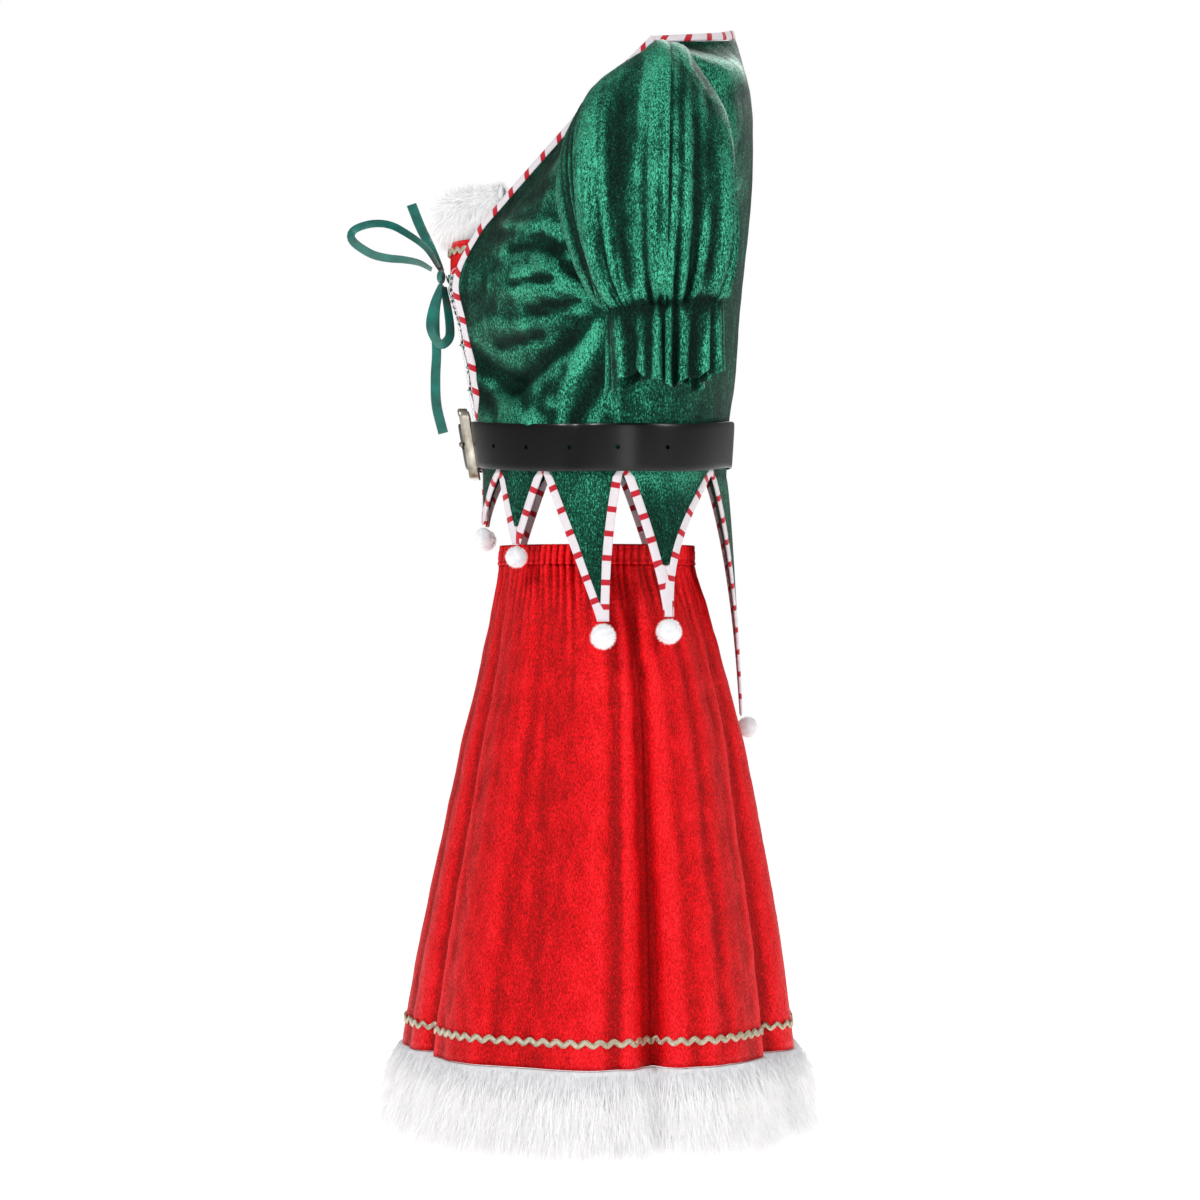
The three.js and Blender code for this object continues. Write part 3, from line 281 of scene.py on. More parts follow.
# %% [markdown]
# ## Creases of the bodice
# Crushed velvet over the bust pulls into a few large creases below the arm. Each is a line
# seen from the side, with a height and a width, so it can be placed like a tuck by hand.

# %% Large creases
# Columns: y and z of the start, y and z of the end, rise (below 0 a trough), width, in mm
CREASES = [
    (-178, -287, -142, -310, -4.5, 11),
    (-142, -310, -84, -266, -4, 12),
    (-168, -262, -128, -236, 3, 22),
    (-80, -243, -116, -209, 3.2, 7),
    (-78, -226, -118, -188, -2.6, 7),
    (-153, -275, -120, -270, -1.8, 5),
    (-70, -269, -106, -328, 3.4, 8),
    (-58, -300, -88, -343, -3, 8),
]
FINE_CREASES = [
    (-82, -232, -124, -206, 1.3, 3.2),
    (-80, -252, -132, -226, 1.5, 3.6),
    (-78, -260, -120, -252, -1.4, 4),
    (-84, -216, -112, -176, 1.2, 3.6),
    (-150, -330, -120, -350, 1.6, 7),
    (-168, -318, -158, -350, -1.4, 6),
    (-120, -318, -132, -356, 1.5, 6),
    (-96, -300, -112, -352, -1.5, 5),
    (-62, -240, -92, -262, 1.5, 4),
    (-176, -232, -160, -206, -1.2, 7),
    (-150, -196, -122, -170, 1.2, 8),
    (-100, -150, -84, -120, 1.4, 6),
    (-134, -168, -104, -140, -1.0, 7),
    (-89, -187, -146, -172, 2.8, 6),
    (-86, -195, -142, -194, -2.6, 5),
    (-86, -203, -138, -217, 2.8, 6),
    (-84, -218, -140, -226, -2.4, 4.5),
    (-82, -232, -144, -231, 2.2, 5),
    (-84, -243, -128, -247, -2.2, 4),
    (-80, -252, -130, -262, 2.2, 5),
    (-176, -290, -143, -313, -3, 5),
    (-143, -313, -92, -274, -2.8, 5),
    (-172, -304, -141, -328, 2.4, 8),
    (-141, -328, -98, -294, 2.2, 8),
    (-132, -262, -160, -256, 1.6, 6),
    (-74, -150, -92, -196, -2.4, 7),
    (-112, -150, -150, -168, 1.4, 6),
    (-96, -128, -128, -150, -1.4, 6),
]


def crease_rise(y, z, table):
    rise = np.zeros_like(y)
    for fy, fz, ty, tz, tall, wide in table:
        dy, dz = ty - fy, tz - fz
        along = ((y - fy) * dy + (z - fz) * dz) / (dy * dy + dz * dz)
        t = np.clip(along, 0, 1)
        off = np.hypot(y - fy - t * dy, z - fz - t * dz)
        rise = rise + tall * bell(off, wide)
    return rise


print("creases:", len(CREASES), "large and", len(FINE_CREASES), "fine")

# %% [markdown]
# ## From sections to rows of cloth
# A front runs from its taped edge to the side seam, round the fullness of the bodice. It is
# a Bezier curve per section, because two handles set how full and how flat the cloth lies.

# %% Rows of the front and the back
EDGE_REACH = 30


def edge_lean(v):
    """The way inwards from the taped edge, square to it as seen from the side."""
    low = min(v, 9.9)
    dy = pick(FRONT_ROWS, "ey", low + 0.1) - pick(FRONT_ROWS, "ey", low)
    dz = pick(FRONT_ROWS, "ez", low + 0.1) - pick(FRONT_ROWS, "ez", low)
    way = np.array([0, -dz, dy * (1 - smooth(3.5, 6, v))])
    way = way / np.linalg.norm(way) * 0.86 + [0.5, 0, 0]
    return way / np.linalg.norm(way)


def front_row(v, fine=False):
    get = lambda key: pick(FRONT_ROWS, key, v)
    edge = np.array([get("ex"), get("ey"), get("ez")])
    side = np.array([get("sx"), get("sy"), get("sz")])
    full = get("full")
    flat = [edge[0] + full * (side[0] - edge[0]), edge[1], edge[2] * 0.67 + side[2] * 0.33]
    under = smooth(8.3, 9.3, v)
    a = (edge + edge_lean(v) * EDGE_REACH) * (1 - under) + np.array(flat) * under
    b = [side[0], side[1] - full * (side[1] - edge[1]), edge[2] * 0.33 + side[2] * 0.67]
    line = bezier(edge, a, b, side)
    t = np.linspace(0, 1, len(line))
    hold = smooth(0, 0.2, t) * smooth(1, 0.85, t)
    rise = crease_rise(line[:, 1], line[:, 2], CREASES)
    if fine:
        rise = rise * 1.3 + crease_rise(line[:, 1], line[:, 2], FINE_CREASES)
    out = line - BODY_MIDDLE
    out[:, 2] = 0
    out /= np.linalg.norm(out, axis=1)[:, None]
    return line + out * (rise * hold)[:, None]


def neck_line(down, count):
    line = []
    for i in range(count + 1):
        at = i / count * (len(NECK_EDGE) - 1)
        here = np.array([pick(NECK_EDGE, k, at) for k in "xyz"])
        ahead = np.array([pick(NECK_EDGE, k, at + 0.01) for k in "xy"]) - here[:2]
        ahead /= np.linalg.norm(ahead)
        steep = math.radians(pick(NECK_EDGE, "steep", at))
        out = np.array([ahead[1], -ahead[0], 0]) * math.cos(steep)
        if i == count:
            out = np.array([0, math.cos(steep), 0])
        out[2] = -math.sin(steep)
        line.append(here + out * down)
    return np.array(line)


def back_lines():
    shoulder = spaced(front_row(0), 24, BINDING_WIDE + SEAM)[::-1]
    neck = neck_line(BINDING_WIDE + SEAM, 32)
    lines = [np.vstack([shoulder, neck[1:]])]
    for row in BACK_ROWS:
        side = np.array([row["sx"], row["sy"], row["sz"]], float)
        mid = np.array([0, row["my"], row["mz"]], float)
        a = [side[0], side[1] + BACK_ROUND * (mid[1] - side[1]), side[2] * 0.67 + mid[2] * 0.33]
        b = [BACK_ROUND * side[0], mid[1], side[2] * 0.33 + mid[2] * 0.67]
        lines.append(bezier(side, a, b, mid))
    return np.array([spaced(line, DENSE) for line in lines])


BACK_LINES = back_lines()


def back_row(v):
    rows = [{"p": line} for line in BACK_LINES]
    line = pick(rows, "p", v).copy()
    if v >= 5:
        shift = front_row(v)[-1] - line[0]
        weight = (1 - np.linspace(0, 1, len(line))) ** 3
        line = line + shift * weight[:, None]
    return line


print("back rows:", BACK_LINES.shape)

# %% [markdown]
# ## Building cloth from rows
# A cloth piece is a grid of rows across the panel. A small helper turns rows into a mesh
# with a flat pattern in millimetres as its UV map, and Solidify gives it real thickness.

# %% Random lumps that repeat each run
def cloud(points, size, seed):
    p = np.asarray(points, float) / size + seed * 17.3
    cell = np.floor(p).astype(np.int64)
    t = p - cell
    t = t * t * (3 - 2 * t)
    total = 0
    for corner in range(8):
        step = np.array([corner & 1, corner >> 1 & 1, corner >> 2 & 1])
        key = (cell + step) @ np.array([73856093, 19349663, 83492791]) + seed * 7919
        key = (key ^ (key >> 13)) * 1274126177 & 0x7FFFFFFF
        value = ((key ^ (key >> 16)) & 0xFFFF) / 32767.5 - 1
        total = total + value * np.prod(np.where(step, t, 1 - t), axis=-1)
    return total


print("a lump:", round(float(cloud([10.0, 4, 2], 8, 1)), 3))


# %% [markdown]
# ## A grid as a mesh
# Writing the arrays straight into the mesh is much faster than one operator per face. The
# second UV map keeps how far each spot stands out, which the velvet paints as highlight on ridges
# and shade in troughs.

# %% Rows to a mesh
def grid_faces(rows, cols, closed=False):
    i = np.arange(rows - 1)[:, None]
    j = np.arange(cols if closed else cols - 1)[None]
    a, b = i * cols + j, i * cols + (j + 1) % cols
    return np.stack([a, b, b + cols, a + cols], -1).reshape(-1, 4)


def new_mesh(name, points, faces, uv=None, lie=None):
    mesh = bpy.data.meshes.new(name)
    faces = np.asarray(faces, np.int32)
    mesh.vertices.add(len(points))
    mesh.vertices.foreach_set("co", (np.asarray(points) * MM).astype(np.float32).ravel())
    mesh.loops.add(faces.size)
    mesh.loops.foreach_set("vertex_index", faces.ravel())
    mesh.polygons.add(len(faces))
    starts = np.arange(0, faces.size, faces.shape[1], dtype=np.int32)
    mesh.polygons.foreach_set("loop_start", starts)
    if uv is not None:
        layer = mesh.uv_layers.new(name="cut")
        layer.data.foreach_set("uv", np.asarray(uv, np.float32)[faces.ravel()].ravel())
    if lie is not None:
        layer = mesh.uv_layers.new(name="lie")
        pair = np.stack([lie, lie], -1).astype(np.float32)
        layer.data.foreach_set("uv", pair[faces.ravel()].ravel())
    mesh.update(calc_edges=True)
    mesh.validate()
    mesh.shade_smooth()
    obj = bpy.data.objects.new(name, mesh)
    bpy.context.collection.objects.link(obj)
    return obj


def flat_uv(rows):
    rows = np.asarray(rows)
    across = np.zeros(rows.shape[:2])
    across[:, 1:] = np.cumsum(np.linalg.norm(np.diff(rows, axis=1), axis=2), axis=1)
    along = np.zeros(rows.shape[:2])
    along[1:] = np.cumsum(np.linalg.norm(np.diff(rows, axis=0), axis=2), axis=0)
    return np.stack([across, along], -1).reshape(-1, 2)


def blurred(grid, size, axis):
    grid = np.moveaxis(grid, axis, 0)
    padded = np.concatenate([grid[:1]] * size + [grid] + [grid[-1:]] * size)
    sums = np.cumsum(np.concatenate([padded[:1] * 0, padded]), axis=0)
    return np.moveaxis((sums[2 * size + 1 :] - sums[: -2 * size - 1]) / (2 * size + 1), 0, axis)


def fold_shade_of(rows, centre):
    """How far each spot stands above (1) or below (-1) the cloth around it, used as painted fold
    shade and highlight.
    """
    normal = np.cross(np.gradient(rows, axis=1), np.gradient(rows, axis=0))
    normal /= np.maximum(np.linalg.norm(normal, axis=2), 1e-9)[..., None]
    if np.sum(normal * (rows - centre)) < 0:
        normal = -normal
    total = 0
    for reach, full in ((5, 0.8), (13, 2.6)):
        soft = rows
        for axis in (0, 1):
            step = np.median(np.linalg.norm(np.diff(rows, axis=axis), axis=2))
            size = int(min(max(round(reach / max(step, 0.2)), 1), rows.shape[axis] // 3))
            soft = blurred(blurred(soft, size, axis), size, axis)
        rise = np.sum((rows - soft) * normal, axis=2)
        total = total + (rise - np.median(rise)) / full
    return np.clip(total, -1, 1).ravel()


def weld(obj, gap=0.00002):
    data = bmesh.new()
    data.from_mesh(obj.data)
    bmesh.ops.remove_doubles(data, verts=data.verts, dist=gap)
    data.to_mesh(obj.data)
    data.free()
    obj.data.update()


def turn_out(obj, centre):
    mesh = obj.data
    count = len(mesh.polygons)
    normals, places, areas = np.zeros(count * 3), np.zeros(count * 3), np.zeros(count)
    mesh.polygons.foreach_get("normal", normals)
    mesh.polygons.foreach_get("center", places)
    mesh.polygons.foreach_get("area", areas)
    ways = places.reshape(-1, 3) - np.array(centre) * MM
    if (np.sum(ways * normals.reshape(-1, 3), axis=1) * areas).sum() < 0:
        mesh.flip_normals()


def thicken(obj, thick):
    wall = obj.modifiers.new("wall", "SOLIDIFY")
    wall.thickness = thick * MM
    wall.offset = 0
    wall.use_rim = True
    apply_all(obj)


def apply_all(obj):
    bpy.ops.object.select_all(action="DESELECT")
    obj.select_set(True)
    bpy.context.view_layer.objects.active = obj
    for modifier in list(obj.modifiers):
        bpy.ops.object.modifier_apply(modifier=modifier.name)
    obj.select_set(False)


def area_of(obj):
    areas = np.zeros(len(obj.data.polygons))
    obj.data.polygons.foreach_get("area", areas)
    return float(areas.sum())


FLAT = {}


def cloth(name, sheets, centre, thick=1.4, closed=False):
    points, faces, uvs, fold_shades, base = [], [], [], [], 0
    for rows in sheets:
        rows = np.asarray(rows)
        points.append(rows.reshape(-1, 3))
        fold_shades.append(fold_shade_of(rows, np.array(centre)))
        uvs.append(flat_uv(rows))
        faces.append(grid_faces(rows.shape[0], rows.shape[1], closed) + base)
        base += rows.shape[0] * rows.shape[1]
    obj = new_mesh(name, np.vstack(points), np.vstack(faces), np.vstack(uvs),
                   np.concatenate(fold_shades))
    weld(obj)
    turn_out(obj, centre)
    FLAT[name] = area_of(obj)
    thicken(obj, thick)
    obj.data.shade_smooth()
    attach(obj, "root")
    return obj


def flip_x(rows):
    return np.asarray(rows) * np.array([-1, 1, 1])


print("cloth helpers ready")

# %% [markdown]
# ## The hem points
# The hem falls in pointed tongues of uneven length. Each tongue is a row of the table: where
# it starts and ends round the waist, how low its tip hangs and how its edges curve.

# %% Table of the hem points
HEM, NOTCH = -381, -390
STUB = 5
HEM_POINTS = [
    dict(name="front", start=0, to=49, tip=13, low=-433, green=-417,
         fore=1, aft=1.2, swing=1, flare=1.2, columns=16),
    dict(name="second", start=49, to=105, tip=77, low=-451, green=-436,
         fore=1, aft=1.1, swing=3, flare=1.2, columns=18),
    dict(name="side", start=105, to=178, tip=162, low=-518, green=-503,
         fore=1.1, aft=2.2, swing=5, flare=1.2, columns=24),
    dict(name="rear", start=178, to=285, tip=217, low=-514, green=-470,
         fore=1.4, aft=2.6, swing=6, flare=1, columns=30),
    dict(name="tail", start=285, to=371, tip=371, low=-604, green=-586,
         fore=1.3, aft=1, swing=14, flare=0.7, columns=26),
]
WAIST = np.vstack([front_row(10), back_row(10)[1:]])
WAIST_SUMS = sums_of(WAIST)
WAIST_SIDE = float(sums_of(front_row(10))[-1])
WAIST_WHOLE = float(WAIST_SUMS[-1])
HEM_POINTS[2]["to"] = HEM_POINTS[3]["start"] = WAIST_SIDE
HEM_POINTS[4]["to"] = HEM_POINTS[4]["tip"] = WAIST_WHOLE


def waist_at(arc):
    reach = min(max(arc, 0), WAIST_WHOLE)
    here = at_distance(WAIST, WAIST_SUMS, reach)
    ahead = at_distance(WAIST, WAIST_SUMS, min(reach + 6, WAIST_WHOLE))
    flow = ahead - at_distance(WAIST, WAIST_SUMS, max(reach - 6, 0))
    flow /= np.linalg.norm(flow)
    if reach > WAIST_WHOLE - 0.01:
        return here, np.array([0, 1.0, 0])
    return here, np.array([flow[1], -flow[0], 0])


def hem_place(arc, z, point):
    here, out = waist_at(arc)
    t = max((NOTCH - z) / (NOTCH - point["low"]), 0)
    return np.array([here[0], here[1], z]) + out * point["swing"] * t ** point["flare"]


def hem_edges(point, z):
    tall = NOTCH - point["low"]
    t = min(max((NOTCH - z) / tall, 0), 1)

    def edge(start, end, power):
        slope = (end - start) / tall * power * (1 - t) ** (power - 1)
        return start + (end - start) * (1 - (1 - t) ** power), BINDING_WIDE * math.hypot(1, slope)

    last = 0 if point["name"] == "tail" else STUB
    fore, fore_in = edge(point["start"], point["tip"] - STUB, point["fore"])
    aft, aft_in = edge(point["to"], point["tip"] + last, point["aft"])
    middle = WAIST_WHOLE if point["name"] == "tail" else (fore + aft) / 2
    least = 0.2 * max(z - point["green"], 0)
    inner_fore = min(fore + fore_in, middle - least)
    inner_aft = max(aft - aft_in, middle + least)
    if z <= point["green"]:
        inner_fore = inner_aft = middle
    return fore, aft, inner_fore, inner_aft


print("waist, half way round:", round(WAIST_WHOLE), "mm, side seam at", round(WAIST_SIDE))

# %% [markdown]
# ## Green panels of the top
# Two fronts and one back are cut with the tongues in one piece. Edges slip 0.8 mm into the
# folded tape that binds them, just as a sewer would tuck them.

# %% Front and back panels
TUCK = 0.8


def soft_crush(rows, deep, seed):
    """Small uneven dents of crushed velvet, over all of a panel."""
    rows = np.asarray(rows)
    stretched = rows * np.array([1, 1, 0.45])
    lumps = cloud(stretched, 9, seed) + 0.6 * cloud(stretched, 4.3, seed + 1)
    flow = np.gradient(rows, axis=1)
    fall = np.gradient(rows, axis=0)
    out = np.cross(flow, fall)
    out /= np.maximum(np.linalg.norm(out, axis=2), 1e-9)[..., None]
    fade = np.ones(rows.shape[:2])
    fade[:, 0] = fade[:, -1] = fade[0] = fade[-1] = 0
    return rows + out * (lumps * fade * deep)[..., None]


def green_rows(point, count):
    start = max(point["start"], BINDING_WIDE - TUCK)
    rows = []
    for z in np.linspace(HEM, point["green"] + 1, count + 1):
        first = NOTCH - 4
        edges = hem_edges(point, min(z, first))
        a = edges[2] - TUCK
        b = WAIST_WHOLE if point["name"] == "tail" else edges[3] + TUCK
        if z > first:
            t = (HEM - z) / (HEM - first)
            a, b = start + (a - start) * t, point["to"] + (b - point["to"]) * t
        row = [hem_place(arc, z, point) for arc in np.linspace(a, b, point["columns"] + 1)]
        rows.append(row)
    return rows


def hem_columns(points, begin):
    arcs = [max(points[0]["start"], begin)]
    for point in points:
        arcs += list(np.linspace(max(point["start"], begin), point["to"], point["columns"] + 1)[1:])
    return np.array(arcs)


def panel_rows(points, begin, levels, row_at, skip):
    arcs = hem_columns(points, begin)
    parts = (arcs - arcs[0]) / (arcs[-1] - arcs[0])
    rows = []
    for v in levels:
        line = row_at(v)
        sums = sums_of(line)
        rows.append(at_distance(line, sums, skip + parts * (sums[-1] - skip - 0.05)))
    return np.array(rows)


def with_tongues(body, points, deep, seed):
    body = soft_crush(body, deep, seed)
    sheets, at = [body], 0
    for point in points:
        count = max(int((HEM - point["green"]) / 3), 8)
        rows = np.array(green_rows(point, count))
        rows[0] = body[-1, at : at + point["columns"] + 1]
        sheets.append(rows)
        at += point["columns"]
    return sheets


def front_sheets():
    levels = np.linspace(0.02, 10, 118)
    row_at = lambda v: front_row(v, fine=True)
    skip = BINDING_WIDE - TUCK
    body = panel_rows(HEM_POINTS[:3], skip, levels, row_at, skip)
    return with_tongues(body, HEM_POINTS[:3], 0.35, 3)


def back_sheets():
    levels = np.linspace(0.03, 10, 96)
    body = panel_rows(HEM_POINTS[3:], WAIST_SIDE, levels, back_row, 0.05)
    return with_tongues(body, HEM_POINTS[3:], 0.35, 5)


TORSO = (0, -60, -250)
front_half = front_sheets()
front_left = cloth("cloth_front_left", front_half, TORSO)
front_right = cloth("cloth_front_right", [flip_x(s)[:, ::-1] for s in front_half], TORSO)
back_half = back_sheets()
both = back_half + [flip_x(s)[:, ::-1] for s in back_half]
back = cloth("cloth_back", both, TORSO)
for piece, node in ((front_left, "top_front_left"), (front_right, "top_front_right"),
                    (back, "top_back")):
    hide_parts(node)
    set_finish(piece, "green_velvet")
print("panels:", [len(o.data.polygons) for o in (front_left, front_right, back)])

# %% [markdown]
# ## Puff sleeves
# A puff sleeve is a wide tube gathered into the armhole and into an elastic above a ruffle.
# Curves run from the armhole to the elastic, and long uneven folds are set round them.

# %% Tables of the sleeve
SLEEVE_GUIDES = [
    dict(reach=62, lean_y=0, lean_z=0.42, drop=52, spread=0.95),
    dict(reach=52, lean_y=-0.55, lean_z=-0.1, drop=48, spread=0.95),
    dict(reach=14, lean_y=0, lean_z=-0.5, drop=26, spread=0.05),
    dict(reach=42, lean_y=0.32, lean_z=0, drop=44, spread=0.6),
]
CUFF = dict(x=208, y=-13, z=-253, half_x=38, half_y=49)
RUFFLE_TALL = 62
SLEEVE_GATHERS, ELASTIC_PUCKERS, RUFFLE_WAVES = 20, 46, 13
SLEEVE_AROUND, SLEEVE_DOWN, RUFFLE_DOWN = 250, 64, 24
RUFFLE_ROWS = [
    dict(drop=0, wave=1.0, grow=-1.6),
    dict(drop=20, wave=2.6, grow=-1.4),
    dict(drop=40, wave=3.2, grow=-2.6),
    dict(drop=RUFFLE_TALL, wave=3.6, grow=-3),
]
SLEEVE_FOLDS = [
    dict(at=0.02, wide=0.035, rise=4.5, low=0.1, high=1),
    dict(at=0.09, wide=0.03, rise=-4, low=0.38, high=1),
    dict(at=0.155, wide=0.035, rise=4, low=0.1, high=1),
    dict(at=0.225, wide=0.034, rise=-5.5, low=0.5, high=1),
    dict(at=0.29, wide=0.03, rise=3.5, low=0.3, high=1),
    dict(at=0.8, wide=0.03, rise=-4, low=0.1, high=1),
    dict(at=0.86, wide=0.035, rise=3.5, low=0.1, high=1),
    dict(at=0.93, wide=0.03, rise=-3.5, low=0.45, high=1),
    dict(at=0.045, wide=0.012, rise=-1.6, low=0.45, high=1),
    dict(at=0.12, wide=0.01, rise=1.4, low=0.5, high=1),
    dict(at=0.19, wide=0.012, rise=-1.3, low=0.4, high=1),
    dict(at=0.965, wide=0.012, rise=1.3, low=0.4, high=1),
    dict(at=0.9, wide=0.012, rise=-1.4, low=0.5, high=1),
    dict(at=0.255, wide=0.012, rise=1.4, low=0.5, high=1),
    dict(at=0.34, wide=0.02, rise=-2, low=0.3, high=1),
    dict(at=0.42, wide=0.02, rise=1.6, low=0.3, high=1),
    dict(at=0.56, wide=0.02, rise=-1.6, low=0.3, high=1),
    dict(at=0.66, wide=0.02, rise=1.8, low=0.3, high=1),
    dict(at=0.73, wide=0.016, rise=-1.6, low=0.4, high=1),
]


def armhole(count):
    fore = [front_row(v)[-1] for v in np.arange(0, 5.01, 0.25)]
    aft = [back_row(v)[0] for v in np.arange(4.75, -0.01, -0.25)]
    return spaced(np.array(fore + aft), count)


def guide(key, turn):
    place = (turn % 1) * 4
    i = np.floor(place).astype(int)
    t = smooth(0, 1, place - i)
    values = np.array([row[key] for row in SLEEVE_GUIDES])
    return values[i % 4] * (1 - t) + values[(i + 1) % 4] * t


def sleeve_fold(turn, t):
    rise = 0
    for fold in SLEEVE_FOLDS:
        off = np.abs((turn - fold["at"] + 1.5) % 1 - 0.5)
        hold = smooth(fold["low"] - 0.1, fold["low"] + 0.25, t) * smooth(1.02, 0.85, t)
        rise = rise + fold["rise"] * bell(off, fold["wide"]) * hold
    return rise


def gather_wave(turn, count, seed):
    wobble = 0.5 * np.sin(2 * np.pi * (3 * turn + seed)) + 0.25 * np.sin(2 * np.pi * (7 * turn))
    size = 0.75 + 0.4 * np.sin(2 * np.pi * (5 * turn + 0.3)) + 0.25 * np.sin(2 * np.pi * 11 * turn)
    return size * np.cos(2 * np.pi * (count * turn + wobble))


def cuff_ring(turn, drop, grow, wave):
    a = turn * 2 * np.pi
    out = np.stack([np.cos(a), -np.sin(a), 0 * a], -1)
    down = drop / RUFFLE_TALL
    hang = down * (6 * np.cos(a * 3 + 1) + 3 * np.cos(a * 5) + 2.4 * np.cos(a * 13 + 2))
    z = CUFF["z"] - 5 * np.sin(a) - drop - hang
    pucker = 1.1 * math.exp(-((drop / 9) ** 2)) * gather_wave(turn, ELASTIC_PUCKERS, 0.6)
    loose = down * (4 * np.sin(a * 4 + 0.6) + 2.6 * np.sin(a * 7) + 1.5 * np.sin(a * 15 + 1))
    gather = grow + wave * gather_wave(turn, RUFFLE_WAVES, 0.1) + pucker + loose
    x = CUFF["x"] + out[:, 0] * (CUFF["half_x"] + gather)
    y = CUFF["y"] + out[:, 1] * (CUFF["half_y"] + gather)
    return np.stack([x, y, z], -1)


def sleeve_rows(count, rows):
    turn = np.arange(count) / count
    start = armhole(count)[:-1] + [0.9, 0, 0]
    end = cuff_ring(turn, 0, 0, 0)
    a = turn * 2 * np.pi
    lean = np.stack([np.ones(count), guide("lean_y", turn), guide("lean_z", turn)], -1)
    lean /= np.linalg.norm(lean, axis=1)[:, None]
    b = start + lean * guide("reach", turn)[:, None]
    spread = guide("spread", turn)
    rise = np.stack([np.cos(a) * spread, -np.sin(a) * spread, np.ones(count)], -1)
    c = end + rise * guide("drop", turn)[:, None]
    made = []
    for t in np.linspace(0, 1, rows):
        s = 1 - t
        p = s**3 * start + 3 * s * s * t * b + 3 * s * t * t * c + t**3 * end
        out = np.stack([p[:, 0] - 190, p[:, 1] - CUFF["y"], (p[:, 2] + 140) * 0.2], -1)
        out /= np.linalg.norm(out, axis=1)[:, None]
        high = 0.66 + 0.12 * np.sin(2 * np.pi * (4 * turn + 0.2)) + 0.05 * np.sin(26 * np.pi * turn)
        near = smooth(high, high + 0.26, t) * (1 + 2.4 * smooth(1.0, 0.94, t))
        near = near + smooth(0.14, 0.02, t) * 1.0 * smooth(0, 0.02, t)
        pucker = 1.3 * math.exp(-(((1 - t) / 0.06) ** 2))
        off = (turn + 0.5) % 1 - 0.5
        head = smooth(0, 0.04, t) * smooth(0.34, 0.08, t)
        notch = 3.4 * bell(off + 0.035, 0.02) + 3 * bell(off - 0.035, 0.02) - 5 * bell(off, 0.012)
        groove = 1.6 * bell(1 - t, 0.02)
        push = sleeve_fold(turn, t) * 1.25 + near * gather_wave(turn, SLEEVE_GATHERS, 0.1)
        push = push + pucker * gather_wave(turn, ELASTIC_PUCKERS, 0.6) + head * notch - groove
        made.append(p + out * push[:, None])
    return np.array(made)


def sleeve_sheet():
    turn = np.arange(SLEEVE_AROUND) / SLEEVE_AROUND
    upper = sleeve_rows(SLEEVE_AROUND, SLEEVE_DOWN)
    lower = []
    for at in np.linspace(0, len(RUFFLE_ROWS) - 1, RUFFLE_DOWN)[1:]:
        drop, grow, wave = (pick(RUFFLE_ROWS, key, at) for key in ("drop", "grow", "wave"))
        lower.append(cuff_ring(turn, drop, grow, wave))
    rows = np.vstack([upper, np.array(lower)])
    rows = np.concatenate([rows, rows[:, :1]], axis=1)
    crushed = soft_crush(rows, 0.4, 11)
    join = crushed[:, 0] * 0.5 + crushed[:, -1] * 0.5
    crushed[:, 0] = crushed[:, -1] = join
    return crushed


SLEEVE_MIDDLE = (190, -20, -160)
sleeve_left_rows = sleeve_sheet()
sleeve_left = cloth("cloth_sleeve_left", [sleeve_left_rows], SLEEVE_MIDDLE)
sleeve_right = cloth("cloth_sleeve_right", [flip_x(sleeve_left_rows)[:, ::-1]],
                     (-SLEEVE_MIDDLE[0], *SLEEVE_MIDDLE[1:]))
for piece, side in ((sleeve_left, "left"), (sleeve_right, "right")):
    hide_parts("sleeve_" + side, "sleeve_ruffle_" + side)
    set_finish(piece, "green_velvet")
print("sleeve:", len(sleeve_left.data.polygons), "faces")

# %% [markdown]
# ## Striped tape
# A folded tape binds the neck and every tongue. It is swept as one long flattened tube. Its
# UV map runs along the tape in millimetres, so the red stripes keep their real spacing.

# %% A tube from rows of an inner edge, an outer edge and a way out
def tube_band(name, inner, outer, ways, thick, around=12, closed=False, over=1.0):
    inner, outer, ways = (np.asarray(v, float) for v in (inner, outer, ways))
    middle = (inner + outer) / 2
    half = (outer - inner) / 2
    wide = np.linalg.norm(half, axis=1)
    across = half / np.maximum(wide, 1e-6)[:, None]
    ways = ways - across * np.sum(ways * across, axis=1)[:, None]
    ways /= np.maximum(np.linalg.norm(ways, axis=1), 1e-9)[:, None]
    angles = np.arange(around) / around * 2 * np.pi
    cos, sin = np.cos(angles), np.sin(angles)
    flat = np.sign(cos) * np.abs(cos) ** 0.55
    tall = np.sign(sin) * np.abs(sin) ** 0.8
    rings = (middle[:, None] + across[:, None] * (wide[:, None] * flat * over)[..., None]
             + ways[:, None] * (thick / 2 * tall)[None, :, None])
    along = np.concatenate([[0], np.cumsum(np.linalg.norm(np.diff(middle, axis=0), axis=1))])
    flow = np.gradient(middle, axis=0)
    flow /= np.maximum(np.linalg.norm(flow, axis=1), 1e-9)[:, None]
    ahead = np.clip(np.sum(across * flow, axis=1), -0.9, 0.9)
    v = wide[:, None] * flat
    u = along[:, None] + v * ahead[:, None]
    uv = np.stack([u, v], -1).reshape(-1, 2)
    count = len(rings)
    faces = grid_faces(count, around, True)
    if closed:
        last = (count - 1) * around
        j = np.arange(around)
        k = (j + 1) % around
        faces = np.vstack([faces, np.stack([last + j, last + k, k, j], -1)])
    points = rings.reshape(-1, 3)
    if not closed:
        ends = []
        for ring, flip in ((0, True), (count - 1, False)):
            for j in range(around // 2 - 1):
                base = ring * around
                quad = [base + j, base + j + 1, base + around - j - 2, base + around - j - 1]
                ends.append(quad[::-1] if flip else quad)
        faces = np.vstack([faces, np.array(ends)])
    obj = new_mesh(name, points, faces, uv)
    fix_normals(obj)
    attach(obj, "root")
    return obj


